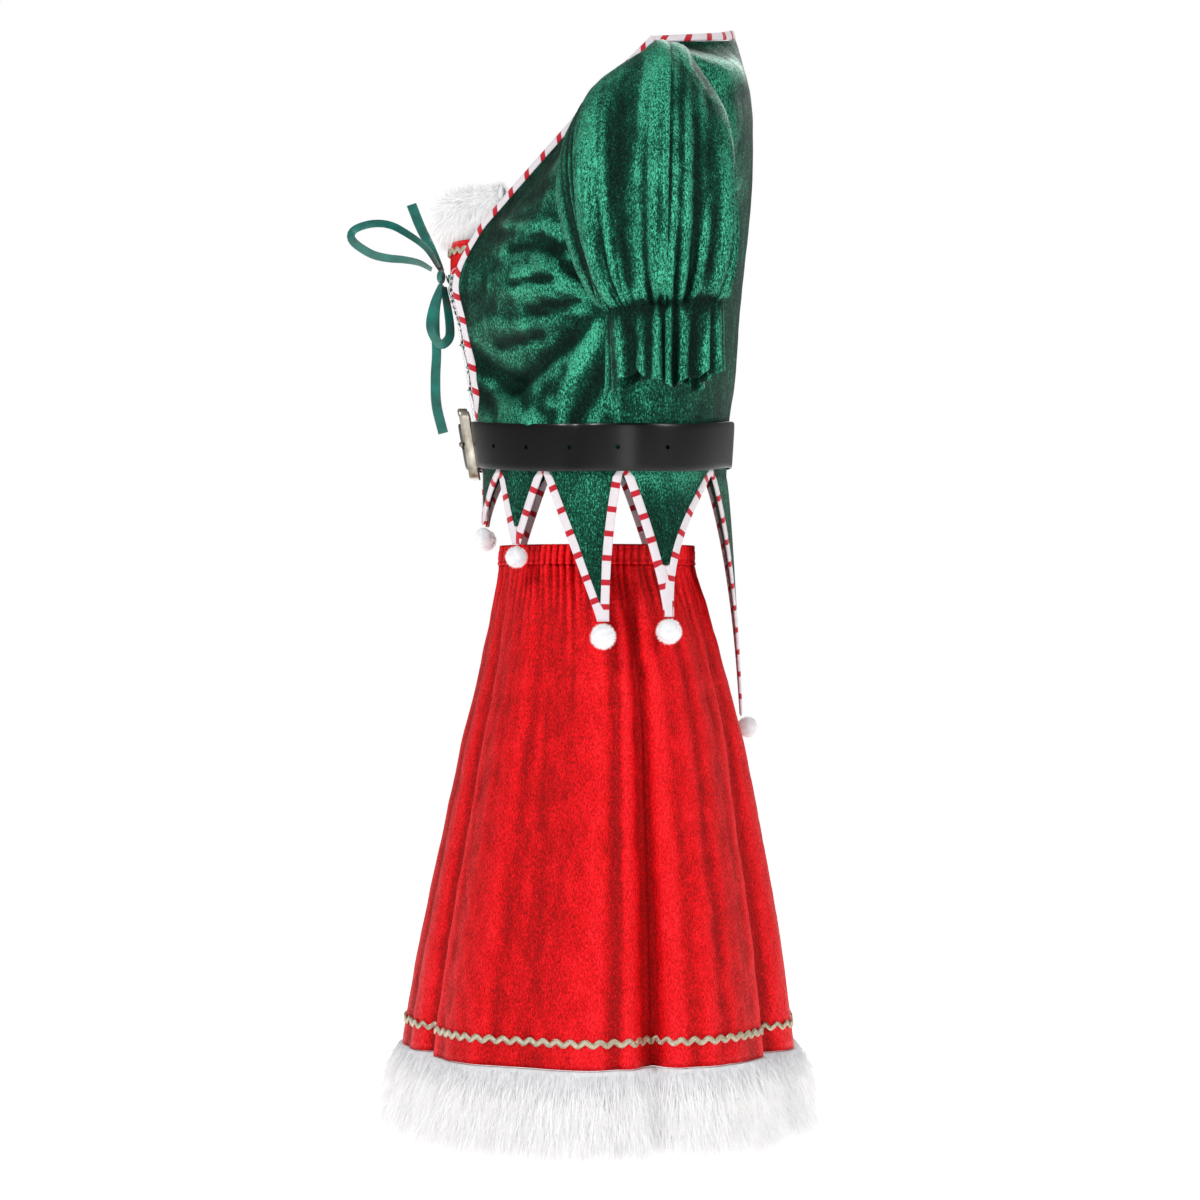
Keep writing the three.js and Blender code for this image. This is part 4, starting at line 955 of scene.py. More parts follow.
def fix_normals(obj):
    data = bmesh.new()
    data.from_mesh(obj.data)
    bmesh.ops.remove_doubles(data, verts=data.verts, dist=0.00001)
    bmesh.ops.recalc_face_normals(data, faces=data.faces)
    data.to_mesh(obj.data)
    data.free()
    obj.data.shade_smooth()


def way_from_axis(points):
    ways = np.asarray(points, float) - BODY_MIDDLE
    ways[:, 2] = 0
    return ways / np.maximum(np.linalg.norm(ways, axis=1), 1e-6)[:, None]


def neck_band():
    inner, outer = [], []
    for v in np.linspace(10, 0, 150):
        line = front_row(v)
        sums = sums_of(line)
        inner.append(at_distance(line, sums, BINDING_WIDE))
        outer.append(line[0])
    inner += list(neck_line(BINDING_WIDE, 60)[1:])
    outer += list(neck_line(0, 60)[1:])
    inner, outer = np.array(inner), np.array(outer)
    inner = np.vstack([inner, flip_x(inner)[::-1][1:]])
    outer = np.vstack([outer, flip_x(outer)[::-1][1:]])
    along = np.gradient((inner + outer) / 2, axis=0)
    ways = np.cross(along, outer - inner)
    middle = (inner + outer) / 2
    lift = np.sum(ways * (middle - [0, -60, -160]), axis=1)
    ways *= np.where(lift < 0, -1, 1)[:, None]
    return inner, outer, ways


neck_inner, neck_outer, neck_ways = neck_band()
neck_tape = tube_band("tape_neck", neck_inner, neck_outer, neck_ways, 2.8)
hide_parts("binding_neck")
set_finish(neck_tape, "striped_binding")
print("neck tape:", len(neck_tape.data.polygons), "faces")


# %% [markdown]
# ## Picot loops
# A narrow looped thread edges both fronts. It is one thin tube along a curling line,
# because loops that close on themselves would hide the holes between them.

# %% Thread loops along both front edges
def picots(sign):
    """A looped white thread, 26 loops long, that stands forward of the tape."""
    loops, steps = 26, 16
    turns = np.arange(loops * steps + 1) / steps
    points, ways = [], []
    for turn in turns:
        v = place_of(FRONT_ROWS, "ez", -206 - turn * 5.15 + 1.9 * math.sin(2 * math.pi * turn))
        edge = front_row(v)[0]
        out = -edge_lean(min(v, 8))
        points.append(edge + out * (1.7 - 2.1 * math.cos(2 * math.pi * turn)))
        ways.append([1.0, 0.3, 0])
    points, ways = np.array(points), np.array(ways)
    if sign < 0:
        points, ways = flip_x(points), flip_x(ways)
    flow = unit(np.gradient(points, axis=0))
    across = unit(np.cross(flow, ways)) * 0.28
    name = "picots_left" if sign > 0 else "picots_right"
    obj = tube_band(name, points - across, points + across, ways, 0.56, 8)
    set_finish(obj, "striped_binding")
    return obj


thread_loops = [picots(1), picots(-1)]
print("picots:", [len(o.data.polygons) for o in thread_loops])


# %% [markdown]
# ## Tape round the tongues
# The same tube follows each tongue down, round its tip and up again. Inner and outer edges
# are listed side by side, so that the tape stays square even in the narrow tips.

# %% The tape along the tongues, from one front edge to the other
def hem_band():
    inner, outer = [], []

    def put(a, b, z_in, z_out, point):
        inner.append(hem_place(a, z_in, point))
        outer.append(hem_place(b, z_out, point))

    for point in HEM_POINTS:
        levels = np.linspace(NOTCH - 4, point["green"] + 0.5, 22)
        first = point["name"] == "front"
        if first:
            put(BINDING_WIDE, 0, HEM - 0.35, HEM - 0.35, point)
        for z in levels:
            fore, _, inside, _ = hem_edges(point, z)
            put(inside, fore, z, z, point)
        fore, aft, middle, _ = hem_edges(point, point["low"])
        middle = hem_edges(point, point["green"])[2]
        low = np.linspace(point["green"] - 2, point["low"], 6)
        for z in low:
            put(middle, hem_edges(point, z)[0], point["green"], z, point)
        if point["name"] == "tail":
            break
        for arc in np.linspace(fore, aft, 5)[1:-1]:
            put(middle, arc, point["green"], point["low"], point)
        for z in low[::-1]:
            put(middle, hem_edges(point, z)[1], point["green"], z, point)
        for z in levels[::-1]:
            _, aft_z, _, inside = hem_edges(point, z)
            put(inside, aft_z, z, z, point)
        put(point["to"], point["to"], HEM - 0.35, NOTCH, point)
    inner, outer = np.array(inner), np.array(outer)
    inner = np.vstack([inner, flip_x(inner)[::-1]])
    outer = np.vstack([outer, flip_x(outer)[::-1]])
    return inner, outer, way_from_axis((inner + outer) / 2)


hem_inner, hem_outer, hem_ways = hem_band()
hem_tape = tube_band("tape_hem", hem_inner, hem_outer, hem_ways, 2.8)
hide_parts("binding_hem")
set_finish(hem_tape, "striped_binding")
print("hem tape:", len(hem_tape.data.polygons), "faces")

# %% [markdown]
# ## Red panel behind the lacing
# A red velvet panel is stitched behind both front edges, so its sides follow the fronts and
# its middle bows forward. Rickrack and fur trim its top.

# %% Red panel
INSERT_ROWS = [
    dict(z=-179.1, my=-201), dict(z=-200, my=-201.5), dict(z=-219, my=-200),
    dict(z=-256, my=-189), dict(z=-295, my=-182), dict(z=-337, my=-174), dict(z=-381, my=-167),
]
INSERT_TUCK, INSERT_BEHIND = 12, 3.4
INSERT_TOP, INSERT_LOW = -179.1, -384


def insert_line(z, proud=0.0, steps=10):
    mid_y = pick(INSERT_ROWS, "my", place_of(INSERT_ROWS, "z", z))
    line = front_row(place_of(FRONT_ROWS, "ez", z))
    sums = sums_of(line)
    half = []
    for reach in np.linspace(INSERT_TUCK, 0, 5):
        p = at_distance(line, sums, reach)
        flow = at_distance(line, sums, reach + 1) - p
        flow /= np.hypot(flow[0], flow[1])
        deep = INSERT_BEHIND - 0.6 * reach / INSERT_TUCK
        half.append([p[0] - flow[1] * deep, p[1] + flow[0] * deep, z])
    edge = half[-1]
    for t in np.linspace(1, 0, steps + 1)[1:-1]:
        half.append([edge[0] * t, edge[1] + (mid_y - edge[1]) * (1 - t * t), z])
    half = np.array(half)
    whole = np.vstack([half, [[0, mid_y, z]], flip_x(half)[::-1]])
    flow = np.gradient(whole, axis=0)
    flow /= np.linalg.norm(flow, axis=1)[:, None]
    return whole + np.stack([-flow[:, 1], flow[:, 0], 0 * flow[:, 0]], -1) * proud


insert_rows = np.array([insert_line(z) for z in np.linspace(INSERT_TOP, INSERT_LOW, 70)])
insert_panel = cloth("cloth_insert", [soft_crush(insert_rows, 0.25, 21)], (0, 0, -280))
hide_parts("insert_panel")
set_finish(insert_panel, "red_velvet")
print("insert:", len(insert_panel.data.polygons), "faces")

# %% [markdown]
# ## Rickrack
# Rickrack is a woven zigzag braid. One wavy tube follows a line on the cloth, and its UV map
# carries the metal threads along it.

# %% A zigzag braid along a line
def rickrack(name, line, ways, waves, tall, wide, thick, closed=False, steps=10):
    count = waves * steps
    line, ways = np.asarray(line, float), np.asarray(ways, float)
    sums = sums_of(line)
    at = np.linspace(0, sums[-1], count + 1)
    if closed:
        at = at[:-1]
    middle = at_distance(line, sums, at)
    out = at_distance(ways, sums, at)
    out /= np.linalg.norm(out, axis=1)[:, None]
    phase = np.arange(len(at)) / steps
    wave = 2 / np.pi * np.arcsin(0.93 * np.sin(2 * np.pi * phase))
    middle = middle + np.array([0, 0, 1]) * (wave * (tall - wide) / 2)[:, None]
    flow = np.gradient(middle, axis=0)
    flow /= np.linalg.norm(flow, axis=1)[:, None]
    across = np.cross(flow, out)
    across /= np.linalg.norm(across, axis=1)[:, None]
    return tube_band(name, middle - across * wide / 2, middle + across * wide / 2, out, thick,
                     around=8, closed=closed)


braid_line = insert_line(-188, 2.5, steps=16)[4:-4]
braid_ways = np.gradient(braid_line, axis=0)
braid_ways = np.stack([-braid_ways[:, 1], braid_ways[:, 0], 0 * braid_ways[:, 0]], -1)
insert_braid = rickrack("rickrack_insert", braid_line, braid_ways, 8, 9, 4.4, 1.8)
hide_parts("insert_braid")
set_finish(insert_braid, "gold_braid")
print("rickrack on the panel:", len(insert_braid.data.polygons), "faces")

# %% [markdown]
# ## Skirt
# A flared skirt hangs in a few deep flutes from fine gathers. A table gives its sections and
# another gives each flute: its angle from the front, its width, and its depth top and bottom.

# %% Tables of the skirt
SKIRT_ROWS = [
    dict(z=-451, fy=-154, by=15, hx=116),
    dict(z=-468, fy=-156, by=16, hx=116),
    dict(z=-500, fy=-162, by=27, hx=126),
    dict(z=-535, fy=-169, by=39, hx=135),
    dict(z=-571, fy=-176, by=50, hx=143),
    dict(z=-625, fy=-189, by=63, hx=152),
    dict(z=-680, fy=-200, by=72, hx=160),
    dict(z=-770, fy=-218, by=88, hx=172),
    dict(z=-846, fy=-232, by=99, hx=183),
    dict(z=-896, fy=-239.5, by=105, hx=190),
    dict(z=-981, fy=-247, by=112, hx=196),
]
SKIRT_FOLDS = [
    dict(angle=0, wide=13, hem=5, top=0),
    dict(angle=28, wide=8, hem=-11, top=-1),
    dict(angle=50, wide=13, hem=4, top=1),
    dict(angle=66, wide=8, hem=-4, top=-2),
    dict(angle=86, wide=9, hem=5, top=2),
    dict(angle=107, wide=8, hem=-13, top=-3),
    dict(angle=126, wide=9, hem=6, top=1),
    dict(angle=151, wide=7, hem=-12, top=-1),
    dict(angle=166, wide=7, hem=4, top=1),
]
SHARP_FOLDS = [
    dict(angle=112.5, wide=3.4, hem=7.5, top=1.5),
    dict(angle=105, wide=3.2, hem=-6, top=-2),
    dict(angle=31, wide=3.4, hem=6, top=0.5),
    dict(angle=24, wide=3.2, hem=-6, top=-1),
    dict(angle=155, wide=3, hem=-5, top=-1),
    dict(angle=147, wide=3.2, hem=5, top=1),
    dict(angle=107.8, wide=1.5, hem=-8, top=-3),
    dict(angle=27, wide=1.5, hem=-7, top=-2),
    dict(angle=151, wide=1.5, hem=-7, top=-2),
    dict(angle=58, wide=3.4, hem=-1.8, top=-2.4),
    dict(angle=94, wide=3.4, hem=-3.6, top=-3.4),
    dict(angle=99, wide=2.6, hem=2.4, top=2.6),
    dict(angle=128, wide=3, hem=-2.4, top=-2.4),
    dict(angle=10, wide=3, hem=-2.4, top=-1.5),
    dict(angle=171, wide=2.6, hem=-2.4, top=-1.5),
]
SKIRT_TOP, SKIRT_HEM, BRAID_LINE = -468, -896, -874
BAND_TOP, BAND_LOW = -451, -468.4
WAIST_GATHERS, SKIRT_AROUND, BAND_AROUND = 78, 460, 520
TAIL_DENT = dict(top=-470, full=-585, low=-690, deep=10, wide=13)


def fold_out(angle, z):
    drop = np.clip((SKIRT_TOP - z) / (SKIRT_TOP - SKIRT_HEM), 0, 1.1)
    turn = np.abs((angle + 540) % 360 - 180)
    out = 0
    for fold in SKIRT_FOLDS + SHARP_FOLDS:
        deep = fold["top"] * smooth(0, 0.15, drop) * (1 - drop) + fold["hem"] * drop**0.9
        out = out + deep * bell(turn - fold["angle"], fold["wide"])
    dent = smooth(TAIL_DENT["top"], TAIL_DENT["full"], z)
    dent = dent * smooth(TAIL_DENT["low"], TAIL_DENT["full"], z)
    return out - dent * TAIL_DENT["deep"] * bell(180 - turn, TAIL_DENT["wide"])


def skirt_place(angle, z, extra=0.0):
    angle = np.asarray(angle, float)
    at = place_of(SKIRT_ROWS, "z", z)
    fy, by, hx = (pick(SKIRT_ROWS, key, at) for key in ("fy", "by", "hx"))
    a = np.radians(angle)
    hy = (by - fy) / 2
    x, y = hx * np.sin(a), (fy + by) / 2 - hy * np.cos(a)
    out = np.stack([np.sin(a) / hx, -np.cos(a) / hy, 0 * a], -1)
    out /= np.linalg.norm(out, axis=-1)[..., None]
    push = fold_out(angle, z) + extra
    return np.stack([x, y, z + 0 * a], -1) + out * push[..., None]


print("skirt front at the hem:", np.round(skirt_place(0.0, SKIRT_HEM), 1))


# %% [markdown]
# ## Gathers under the elastic
# The waistband draws the cloth in. Even waves fade out a few centimetres down, and drag
# lines of random length keep them from looking like a machine's pleats.

# %% Skirt and waistband
def fine_wrinkles(turn, z):
    """Soft drag lines that run down from the gathers and die out at uneven heights."""
    seed = np.random.default_rng(8)
    out = 0
    for _ in range(170):
        at, wide = seed.random(), seed.uniform(0.003, 0.0075)
        long = seed.uniform(14, 55) if seed.random() < 0.75 else seed.uniform(90, 420)
        rise = seed.uniform(0.9, 2.6) * seed.choice([-1, 1]) * (1 if long < 60 else 0.3)
        lean = seed.uniform(-0.0001, 0.0001)
        off = np.abs((turn - at - lean * (SKIRT_TOP - z) + 1.5) % 1 - 0.5)
        out = out + rise * bell(off, wide) * np.exp(-(((SKIRT_TOP - z) / long) ** 2))
    return out


def skirt_rows(heights, count, wave, wrinkles=True):
    turn = np.arange(count + 1) / count
    rows = []
    for z in heights:
        size = wave * math.exp(-(((SKIRT_TOP - z) / 30) ** 2))
        extra = size * gather_wave(turn, WAIST_GATHERS, 0.4)
        if wrinkles:
            extra = extra + fine_wrinkles(turn, z) * smooth(-462, -474, z)
        rows.append(skirt_place(turn * 360, z, extra))
    rows = np.array(rows)
    rows[:, -1] = rows[:, 0]
    return rows


skirt_heights = np.concatenate([np.linspace(-468.6, -520, 24), np.linspace(-527, SKIRT_HEM, 50)])
skirt_sheet = soft_crush(skirt_rows(skirt_heights, SKIRT_AROUND, 2.2), 0.5, 31)
skirt_sheet[:, -1] = skirt_sheet[:, 0]
skirt = cloth("cloth_skirt", [skirt_sheet], (0, -65, -700), 1.3)
band_heights = np.linspace(BAND_TOP, BAND_LOW, 10)
band_rows = skirt_rows(band_heights, BAND_AROUND, 0, False)
band_turn = np.arange(BAND_AROUND + 1) / BAND_AROUND
for row, z in zip(band_rows, band_heights):
    swell = 1.3 * math.cos((z + 459.7) / 8.7 * 1.2)
    grooves = 0.5 * sum(math.exp(-(((z - c) / 1.0) ** 2)) for c in (-455, -459.7, -464.4))
    out = row - [0, -70, 0]
    out[:, 2] = 0
    out /= np.linalg.norm(out, axis=1)[:, None]
    row += out * ((1.9 * gather_wave(band_turn, WAIST_GATHERS, 0.4) + swell - grooves)[:, None])
    row[-1] = row[0]
waistband = cloth("cloth_waistband", [band_rows], (0, -65, -460), 2.2)
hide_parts("skirt_cloth")
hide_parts("skirt_waistband")
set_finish(skirt, "red_velvet")
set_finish(waistband, "red_velvet")

hem_turn = np.linspace(0, 360, 721)
hem_line = skirt_place(hem_turn, BRAID_LINE, 1.7)
skirt_braid = rickrack("rickrack_skirt", hem_line, way_from_axis(hem_line), 96, 10, 4.8, 1.9,
                       closed=True)
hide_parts("skirt_braid")
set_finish(skirt_braid, "gold_braid")
print("skirt:", len(skirt.data.polygons), "faces, braid:", len(skirt_braid.data.polygons))

# %% [markdown]
# ## Satin ribbon
# Flat ribbon laces the front and ties a bow. A ribbon is a thin, flattened band. Loops and
# tails are free cords of a known length.

# %% Ribbons
def smooth_curve(points, count):
    rows = [{"p": np.array(p, float)} for p in points]
    fine = np.array([pick(rows, "p", t) for t in np.linspace(0, len(rows) - 1, 200)])
    return spaced(fine, count)


def ribbon(name, line, across, wide=8.0, thick=0.8):
    line = np.asarray(line, float)
    across = np.broadcast_to(np.asarray(across, float), line.shape)
    flow = np.gradient(line, axis=0)
    flow /= np.linalg.norm(flow, axis=1)[:, None]
    across = across - flow * np.sum(across * flow, axis=1)[:, None]
    across /= np.linalg.norm(across, axis=1)[:, None]
    ways = np.cross(flow, across)
    obj = tube_band(name, line - across * wide / 2, line + across * wide / 2, ways, thick, 12)
    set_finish(obj, "satin_ribbon")
    return obj


LACE_LEVELS = [-213, -233, -253, -273, -293, -313, -333]


def lace_path(side, lift):
    start = insert_line(LACE_LEVELS[0] + 3, 2.1 + lift)
    sums = sums_of(start)
    middle = sums[-1] / 2
    line = []
    for i in range(4):
        away = 1 + i / 4 * (middle - INSERT_TUCK - 4.5)
        line.append(at_distance(start, sums, middle - side * away) - [0, 0, i / 4 * 3])
    for n, z in enumerate(LACE_LEVELS[:-1]):
        sign = side if n % 2 == 0 else -side
        for i in range(1 if n else 0, 15):
            t = i / 14
            cross = insert_line(z + (LACE_LEVELS[n + 1] - z) * t, 2.1 + lift)
            sums = sums_of(cross)
            edge = INSERT_TUCK + 3.5
            run = sums[-1] - 2 * edge
            part = edge + run * t if sign > 0 else sums[-1] - edge - run * t
            line.append(at_distance(cross, sums, part))
    return np.array(line)


for name, side, lift in (("lace_a", 1, 0), ("lace_b", -1, 1.9)):
    piece = ribbon("ribbon_" + name, lace_path(side, lift), (0, -0.22, 1), 6, 0.9)
    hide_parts(name)
print("laces made")

# %% [markdown]
# ## The bow
# Each loop and tail is a curve through a few places read from the side. The ribbon's width
# turns as it leaves the knot, as a folded ribbon does. The knot stays as the frame gives it.

# %% Bow loops, tails and knot
BOW = {
    "bow_loop_up": [[3, -211.5, -202.4], [5, -224, -183], [5, -244, -168.5], [3, -258, -162],
                    [0, -273, -161], [-2, -287, -165], [-3, -292, -171], [-3, -288, -178.5],
                    [-3, -273, -188], [-3, -258, -191.7], [-3, -244, -193], [-2, -230, -196],
                    [-2, -219, -202]],
    "bow_loop_down": [[5, -210.5, -215.7], [6, -217, -234], [6, -220, -252], [6, -216, -264],
                      [6, -209.5, -270], [6, -203, -264], [6, -202.3, -254], [5, -204, -240],
                      [5, -206.5, -226], [5, -207.5, -218]],
    "bow_tail_up": [[-8, -210.5, -202.5], [-11, -222, -178], [-12, -230, -162],
                    [-13, -238, -142]],
    "bow_tail_down": [[-7, -210, -215.4], [-9, -215, -236], [-9, -216, -256], [-9, -215, -276],
                      [-9, -216, -300], [-9, -215, -324], [-9, -209, -349]],
}


def ribbon_ways(line, low, high, turns):
    """The width starts near the knot across the body and turns to face the side."""
    flow = np.gradient(line, axis=0)
    flow /= np.linalg.norm(flow, axis=1)[:, None]
    square = np.stack([0 * flow[:, 0], -flow[:, 2], flow[:, 1]], -1)
    t = np.linspace(0, 1, len(line))
    lean = low + (high - low) * np.sin(np.pi * np.clip(t * turns, 0, 1)) ** 0.7
    return square * np.sin(lean)[:, None] + np.cos(lean)[:, None] * [1, 0, 0]


BOW_TWIST = {"bow_loop_up": (0.35, 0.95, 1), "bow_loop_down": (0.5, 1.05, 1),
             "bow_tail_up": (0.5, 1.25, 0.6), "bow_tail_down": (0.5, 1.3, 0.55)}
for name, points in BOW.items():
    line = smooth_curve(points, 72)
    piece = ribbon("ribbon_" + name, line, ribbon_ways(line, *BOW_TWIST[name]), 9.5, 0.7)
    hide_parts(name)
print("bow:", [round(float(sums_of(smooth_curve(p, 60))[-1])) for p in BOW.values()], "mm")

# %% [markdown]
# ## Belt and buckle
# A leather strap goes round the waist, through a buckle and a keeper. The strap is a grid
# with rounded edges, and its holes are cut with a Boolean, as a punch would cut them.

# %% Belt guide and strap
BELT_TOP, BELT_BOTTOM, BELT_DIP = -340.5, -381.5, 7.7
LEATHER, BELT_GAP, LAYER = 2.6, 4.4, 3
STRAP_TIP = -146
HOLES = dict(arcs=(46, 88, 130, 172, 214, 256), z=-361, radius=1.9)
BUCKLE_DEEP = 8


def belt_ring(z):
    v = place_of(FRONT_ROWS, "ez", z)
    fore = front_row(v)
    flow = fore[1] - fore[0]
    bend = fore[0] - flow / np.linalg.norm(flow) * 13
    middle = np.array([0, bend[1] - 1.2, z])
    join = bezier(middle, (12, middle[1], z), bend, fore[0], 8)
    half = np.vstack([join, fore[1:], back_row(v)[1:]])
    line = np.vstack([half, flip_x(half)[::-1][1:]])
    return line, sums_of(line)


BELT_RINGS = [belt_ring(z) for z in (BELT_TOP, BELT_BOTTOM)]
BELT_ROUND = float(BELT_RINGS[0][1][-1])


def belt_place(arc, out, z):
    arc, out, z = np.broadcast_arrays(*(np.asarray(v, float) for v in (arc, out, z)))
    ends = []
    for line, sums in BELT_RINGS:
        whole = sums[-1]
        reach = (arc / BELT_ROUND % 1) * whole
        flow = at_distance(line, sums, np.minimum(reach + 5, whole))
        flow = flow - at_distance(line, sums, np.maximum(reach - 5, 0))
        flow /= np.linalg.norm(flow, axis=-1)[..., None]
        way = np.stack([flow[..., 1], -flow[..., 0], 0 * flow[..., 0]], -1)
        ends.append(at_distance(line, sums, reach) + way * out[..., None])
    t = (z - BELT_TOP) / (BELT_BOTTOM - BELT_TOP)
    p = ends[0] + (ends[1] - ends[0]) * t[..., None]
    p[..., 2] = z - BELT_DIP * smooth(20, 150, np.abs(p[..., 0]))
    return p


def belt_out(arc):
    lift = smooth(BELT_ROUND + 18, BELT_ROUND - 16, arc)
    rest = smooth(BELT_ROUND - 34, BELT_ROUND - 58, arc)
    over = BUCKLE_DEEP + LEATHER + 0.8
    return BELT_GAP + lift * (over - rest * (over - LAYER))


def belt_strap():
    start, end = BELT_ROUND - 18, STRAP_TIP
    arcs = np.concatenate([np.linspace(start, 24, 230), np.linspace(22, end, 90)])
    turns = np.linspace(0, 2 * np.pi, 24, endpoint=False)
    flat = np.sign(np.cos(turns)) * np.abs(np.cos(turns)) ** 0.25
    tall = np.sign(np.sin(turns)) * np.abs(np.sin(turns)) ** 0.7
    middle = (BELT_TOP + BELT_BOTTOM) / 2
    rings = []
    for arc in arcs:
        out = BELT_GAP if arc > 24 else float(belt_out(arc + BELT_ROUND))
        left = arc - end
        half = (BELT_TOP - BELT_BOTTOM) / 2
        if arc < 0:
            half *= 1 - (1 - min(left / 24, 1)) ** 2 * 0.75
        rings.append(belt_place(arc, out + tall * LEATHER / 2, middle + flat * half))
    rings = np.array(rings)
    faces = grid_faces(len(rings), 24, True)
    caps = []
    for base in (0, (len(rings) - 1) * 24):
        caps += [[base + j, base + j + 1, base + 22 - j, base + 23 - j] for j in range(11)]
    along = np.repeat(arcs[:, None], 24, axis=1)
    height = np.repeat(flat[None] * 20.5, len(arcs), axis=0)
    uv = np.stack([along, height], -1).reshape(-1, 2)
    obj = new_mesh("belt_leather", rings.reshape(-1, 3), np.vstack([faces, caps]), uv)
    fix_normals(obj)
    return obj


def punch(obj, arc, wide, tall, sides=20):
    turns = np.linspace(0, 2 * np.pi, sides, endpoint=False)
    rings = [belt_place(arc + wide * np.cos(turns), out, HOLES["z"] + tall * np.sin(turns))
             for out in (-1, 22)]
    faces = [[j, (j + 1) % sides, sides + (j + 1) % sides, sides + j] for j in range(sides)]
    mesh = bpy.data.meshes.new("punch")
    points = [tuple(p * MM) for p in np.vstack(rings)]
    mesh.from_pydata(points, [], faces + [list(range(sides)), list(range(sides, 2 * sides))])
    tool = bpy.data.objects.new("punch", mesh)
    bpy.context.collection.objects.link(tool)
    fix_normals(tool)
    cut = obj.modifiers.new("hole", "BOOLEAN")
    cut.operation = "DIFFERENCE"
    cut.solver = "EXACT"
    cut.object = tool
    apply_all(obj)
    bpy.data.objects.remove(tool)


strap = belt_strap()
for hole_arc in HOLES["arcs"]:
    punch(strap, hole_arc, HOLES["radius"], HOLES["radius"])
punch(strap, -1, 10, 3.2)
bpy.ops.object.select_all(action="DESELECT")
strap.select_set(True)
bpy.context.view_layer.objects.active = strap
bpy.ops.object.shade_smooth_by_angle(angle=math.radians(35))
strap.select_set(False)
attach(strap, "root")
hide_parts("belt_strap")
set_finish(strap, "belt_leather")
print("strap:", len(strap.data.polygons), "faces")

# %% [markdown]
# ## Buckle
# The buckle is modelled flat, from a box that is inset, bridged and bevelled. Then it
# is wrapped on the belt: x becomes the way along the strap and -y the way out of it. The prong and
# the keeper stay as the frame gives them.

# %% Hard pieces, modelled flat and wrapped on the strap
def start_edit(obj):
    bpy.ops.object.select_all(action="DESELECT")
    obj.select_set(True)
    bpy.context.view_layer.objects.active = obj
    bpy.ops.object.mode_set(mode="EDIT")
    bpy.ops.mesh.select_all(action="DESELECT")


def choose(obj, test, kind="FACE"):
    """Selects faces or edges in edit mode by a test of their centre and direction."""
    bpy.context.tool_settings.mesh_select_mode = (False, kind == "EDGE", kind == "FACE")
    data = bmesh.from_edit_mesh(obj.data)
    for item in [*data.faces, *data.edges, *data.verts]:
        item.select = False
    for item in data.faces if kind == "FACE" else data.edges:
        if kind == "FACE":
            item.select_set(test(item.calc_center_median(), item.normal))
        else:
            a, b = (v.co for v in item.verts)
            item.select_set(test((a + b) / 2, (b - a).normalized()))
    bmesh.update_edit_mesh(obj.data)


def box_at(name, low, high):
    middle = [(a + b) / 2 * MM for a, b in zip(low, high)]
    bpy.ops.object.select_all(action="DESELECT")
    bpy.ops.mesh.primitive_cube_add(size=1, location=middle)
    obj = bpy.context.object
    obj.name = name
    obj.scale = [(b - a) * MM for a, b in zip(low, high)]
    bpy.ops.object.transform_apply(location=True, rotation=True, scale=True)
    return obj


def wrap_on_belt(obj):
    count = len(obj.data.vertices)
    flat = np.zeros(count * 3)
    obj.data.vertices.foreach_get("co", flat)
    flat = flat.reshape(-1, 3) / MM
    wrapped = belt_place(flat[:, 0], -flat[:, 1], flat[:, 2]) * MM
    obj.data.vertices.foreach_set("co", wrapped.ravel())
    obj.data.update()
    fix_normals(obj)
    apply_all(obj)
    bpy.ops.object.select_all(action="DESELECT")
    obj.select_set(True)
    bpy.context.view_layer.objects.active = obj
    bpy.ops.object.shade_smooth_by_angle(angle=math.radians(40))
    obj.select_set(False)
    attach(obj, "root")


def hollow_frame(name, low, high, bar, corner, edge):
    """A box with rounded corners is inset on both faces, bridged through, then bevelled."""
    obj = box_at(name, low, high)
    start_edit(obj)
    choose(obj, lambda c, d: abs(d.y) > 0.9, "EDGE")
    bpy.ops.mesh.bevel(offset=corner * MM, segments=8, affect="EDGES")
    choose(obj, lambda c, n: abs(n.y) > 0.9)
    bpy.ops.mesh.inset(thickness=bar * MM, depth=0)
    bpy.ops.mesh.bridge_edge_loops()
    front = low[1] * MM
    inner = (high[0] - low[0]) / 2 * MM - bar * MM * 0.5
    tall, middle = (high[2] - low[2]) / 2 * MM - bar * MM * 0.5, (high[2] + low[2]) / 2 * MM
    on_front = lambda c, d: abs(c.y - front) < 1e-5 and abs(d.y) < 0.1
    crossing = lambda c: abs(abs(c.x) - inner) < 1e-4 or abs(abs(c.z - middle) - tall) < 1e-4
    choose(obj, lambda c, d: on_front(c, d) and not crossing(c), "EDGE")
    bpy.ops.mesh.bevel(offset=edge * MM, segments=3, affect="EDGES")
    bpy.ops.object.mode_set(mode="OBJECT")
    return obj


buckle_back = BELT_GAP + LEATHER / 2 + 0.4
buckle = hollow_frame("buckle_frame_cast", (-30, -(buckle_back + BUCKLE_DEEP), -391),
                      (30, -buckle_back, -328.5), 6.5, 7.5, 1.4)
fine = buckle.modifiers.new("fine", "SUBSURF")
fine.subdivision_type = "SIMPLE"
fine.levels = fine.render_levels = 1
apply_all(buckle)
wrap_on_belt(buckle)
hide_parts("buckle_frame")
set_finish(buckle, "buckle_metal")
print("buckle:", len(buckle.data.polygons), "faces")

# %% [markdown]
# ## Fur and pompoms
# Fur is many thin tapered hairs on a small skin. Each hair is a narrow strip of a few faces,
# bent by its own weight and drawn towards its lock, and all hairs of a piece are one mesh.

# %% Hairs
HEM_HAIRS, ROLL_HAIRS, POMPOM_HAIRS = 31000, 12500, 1750


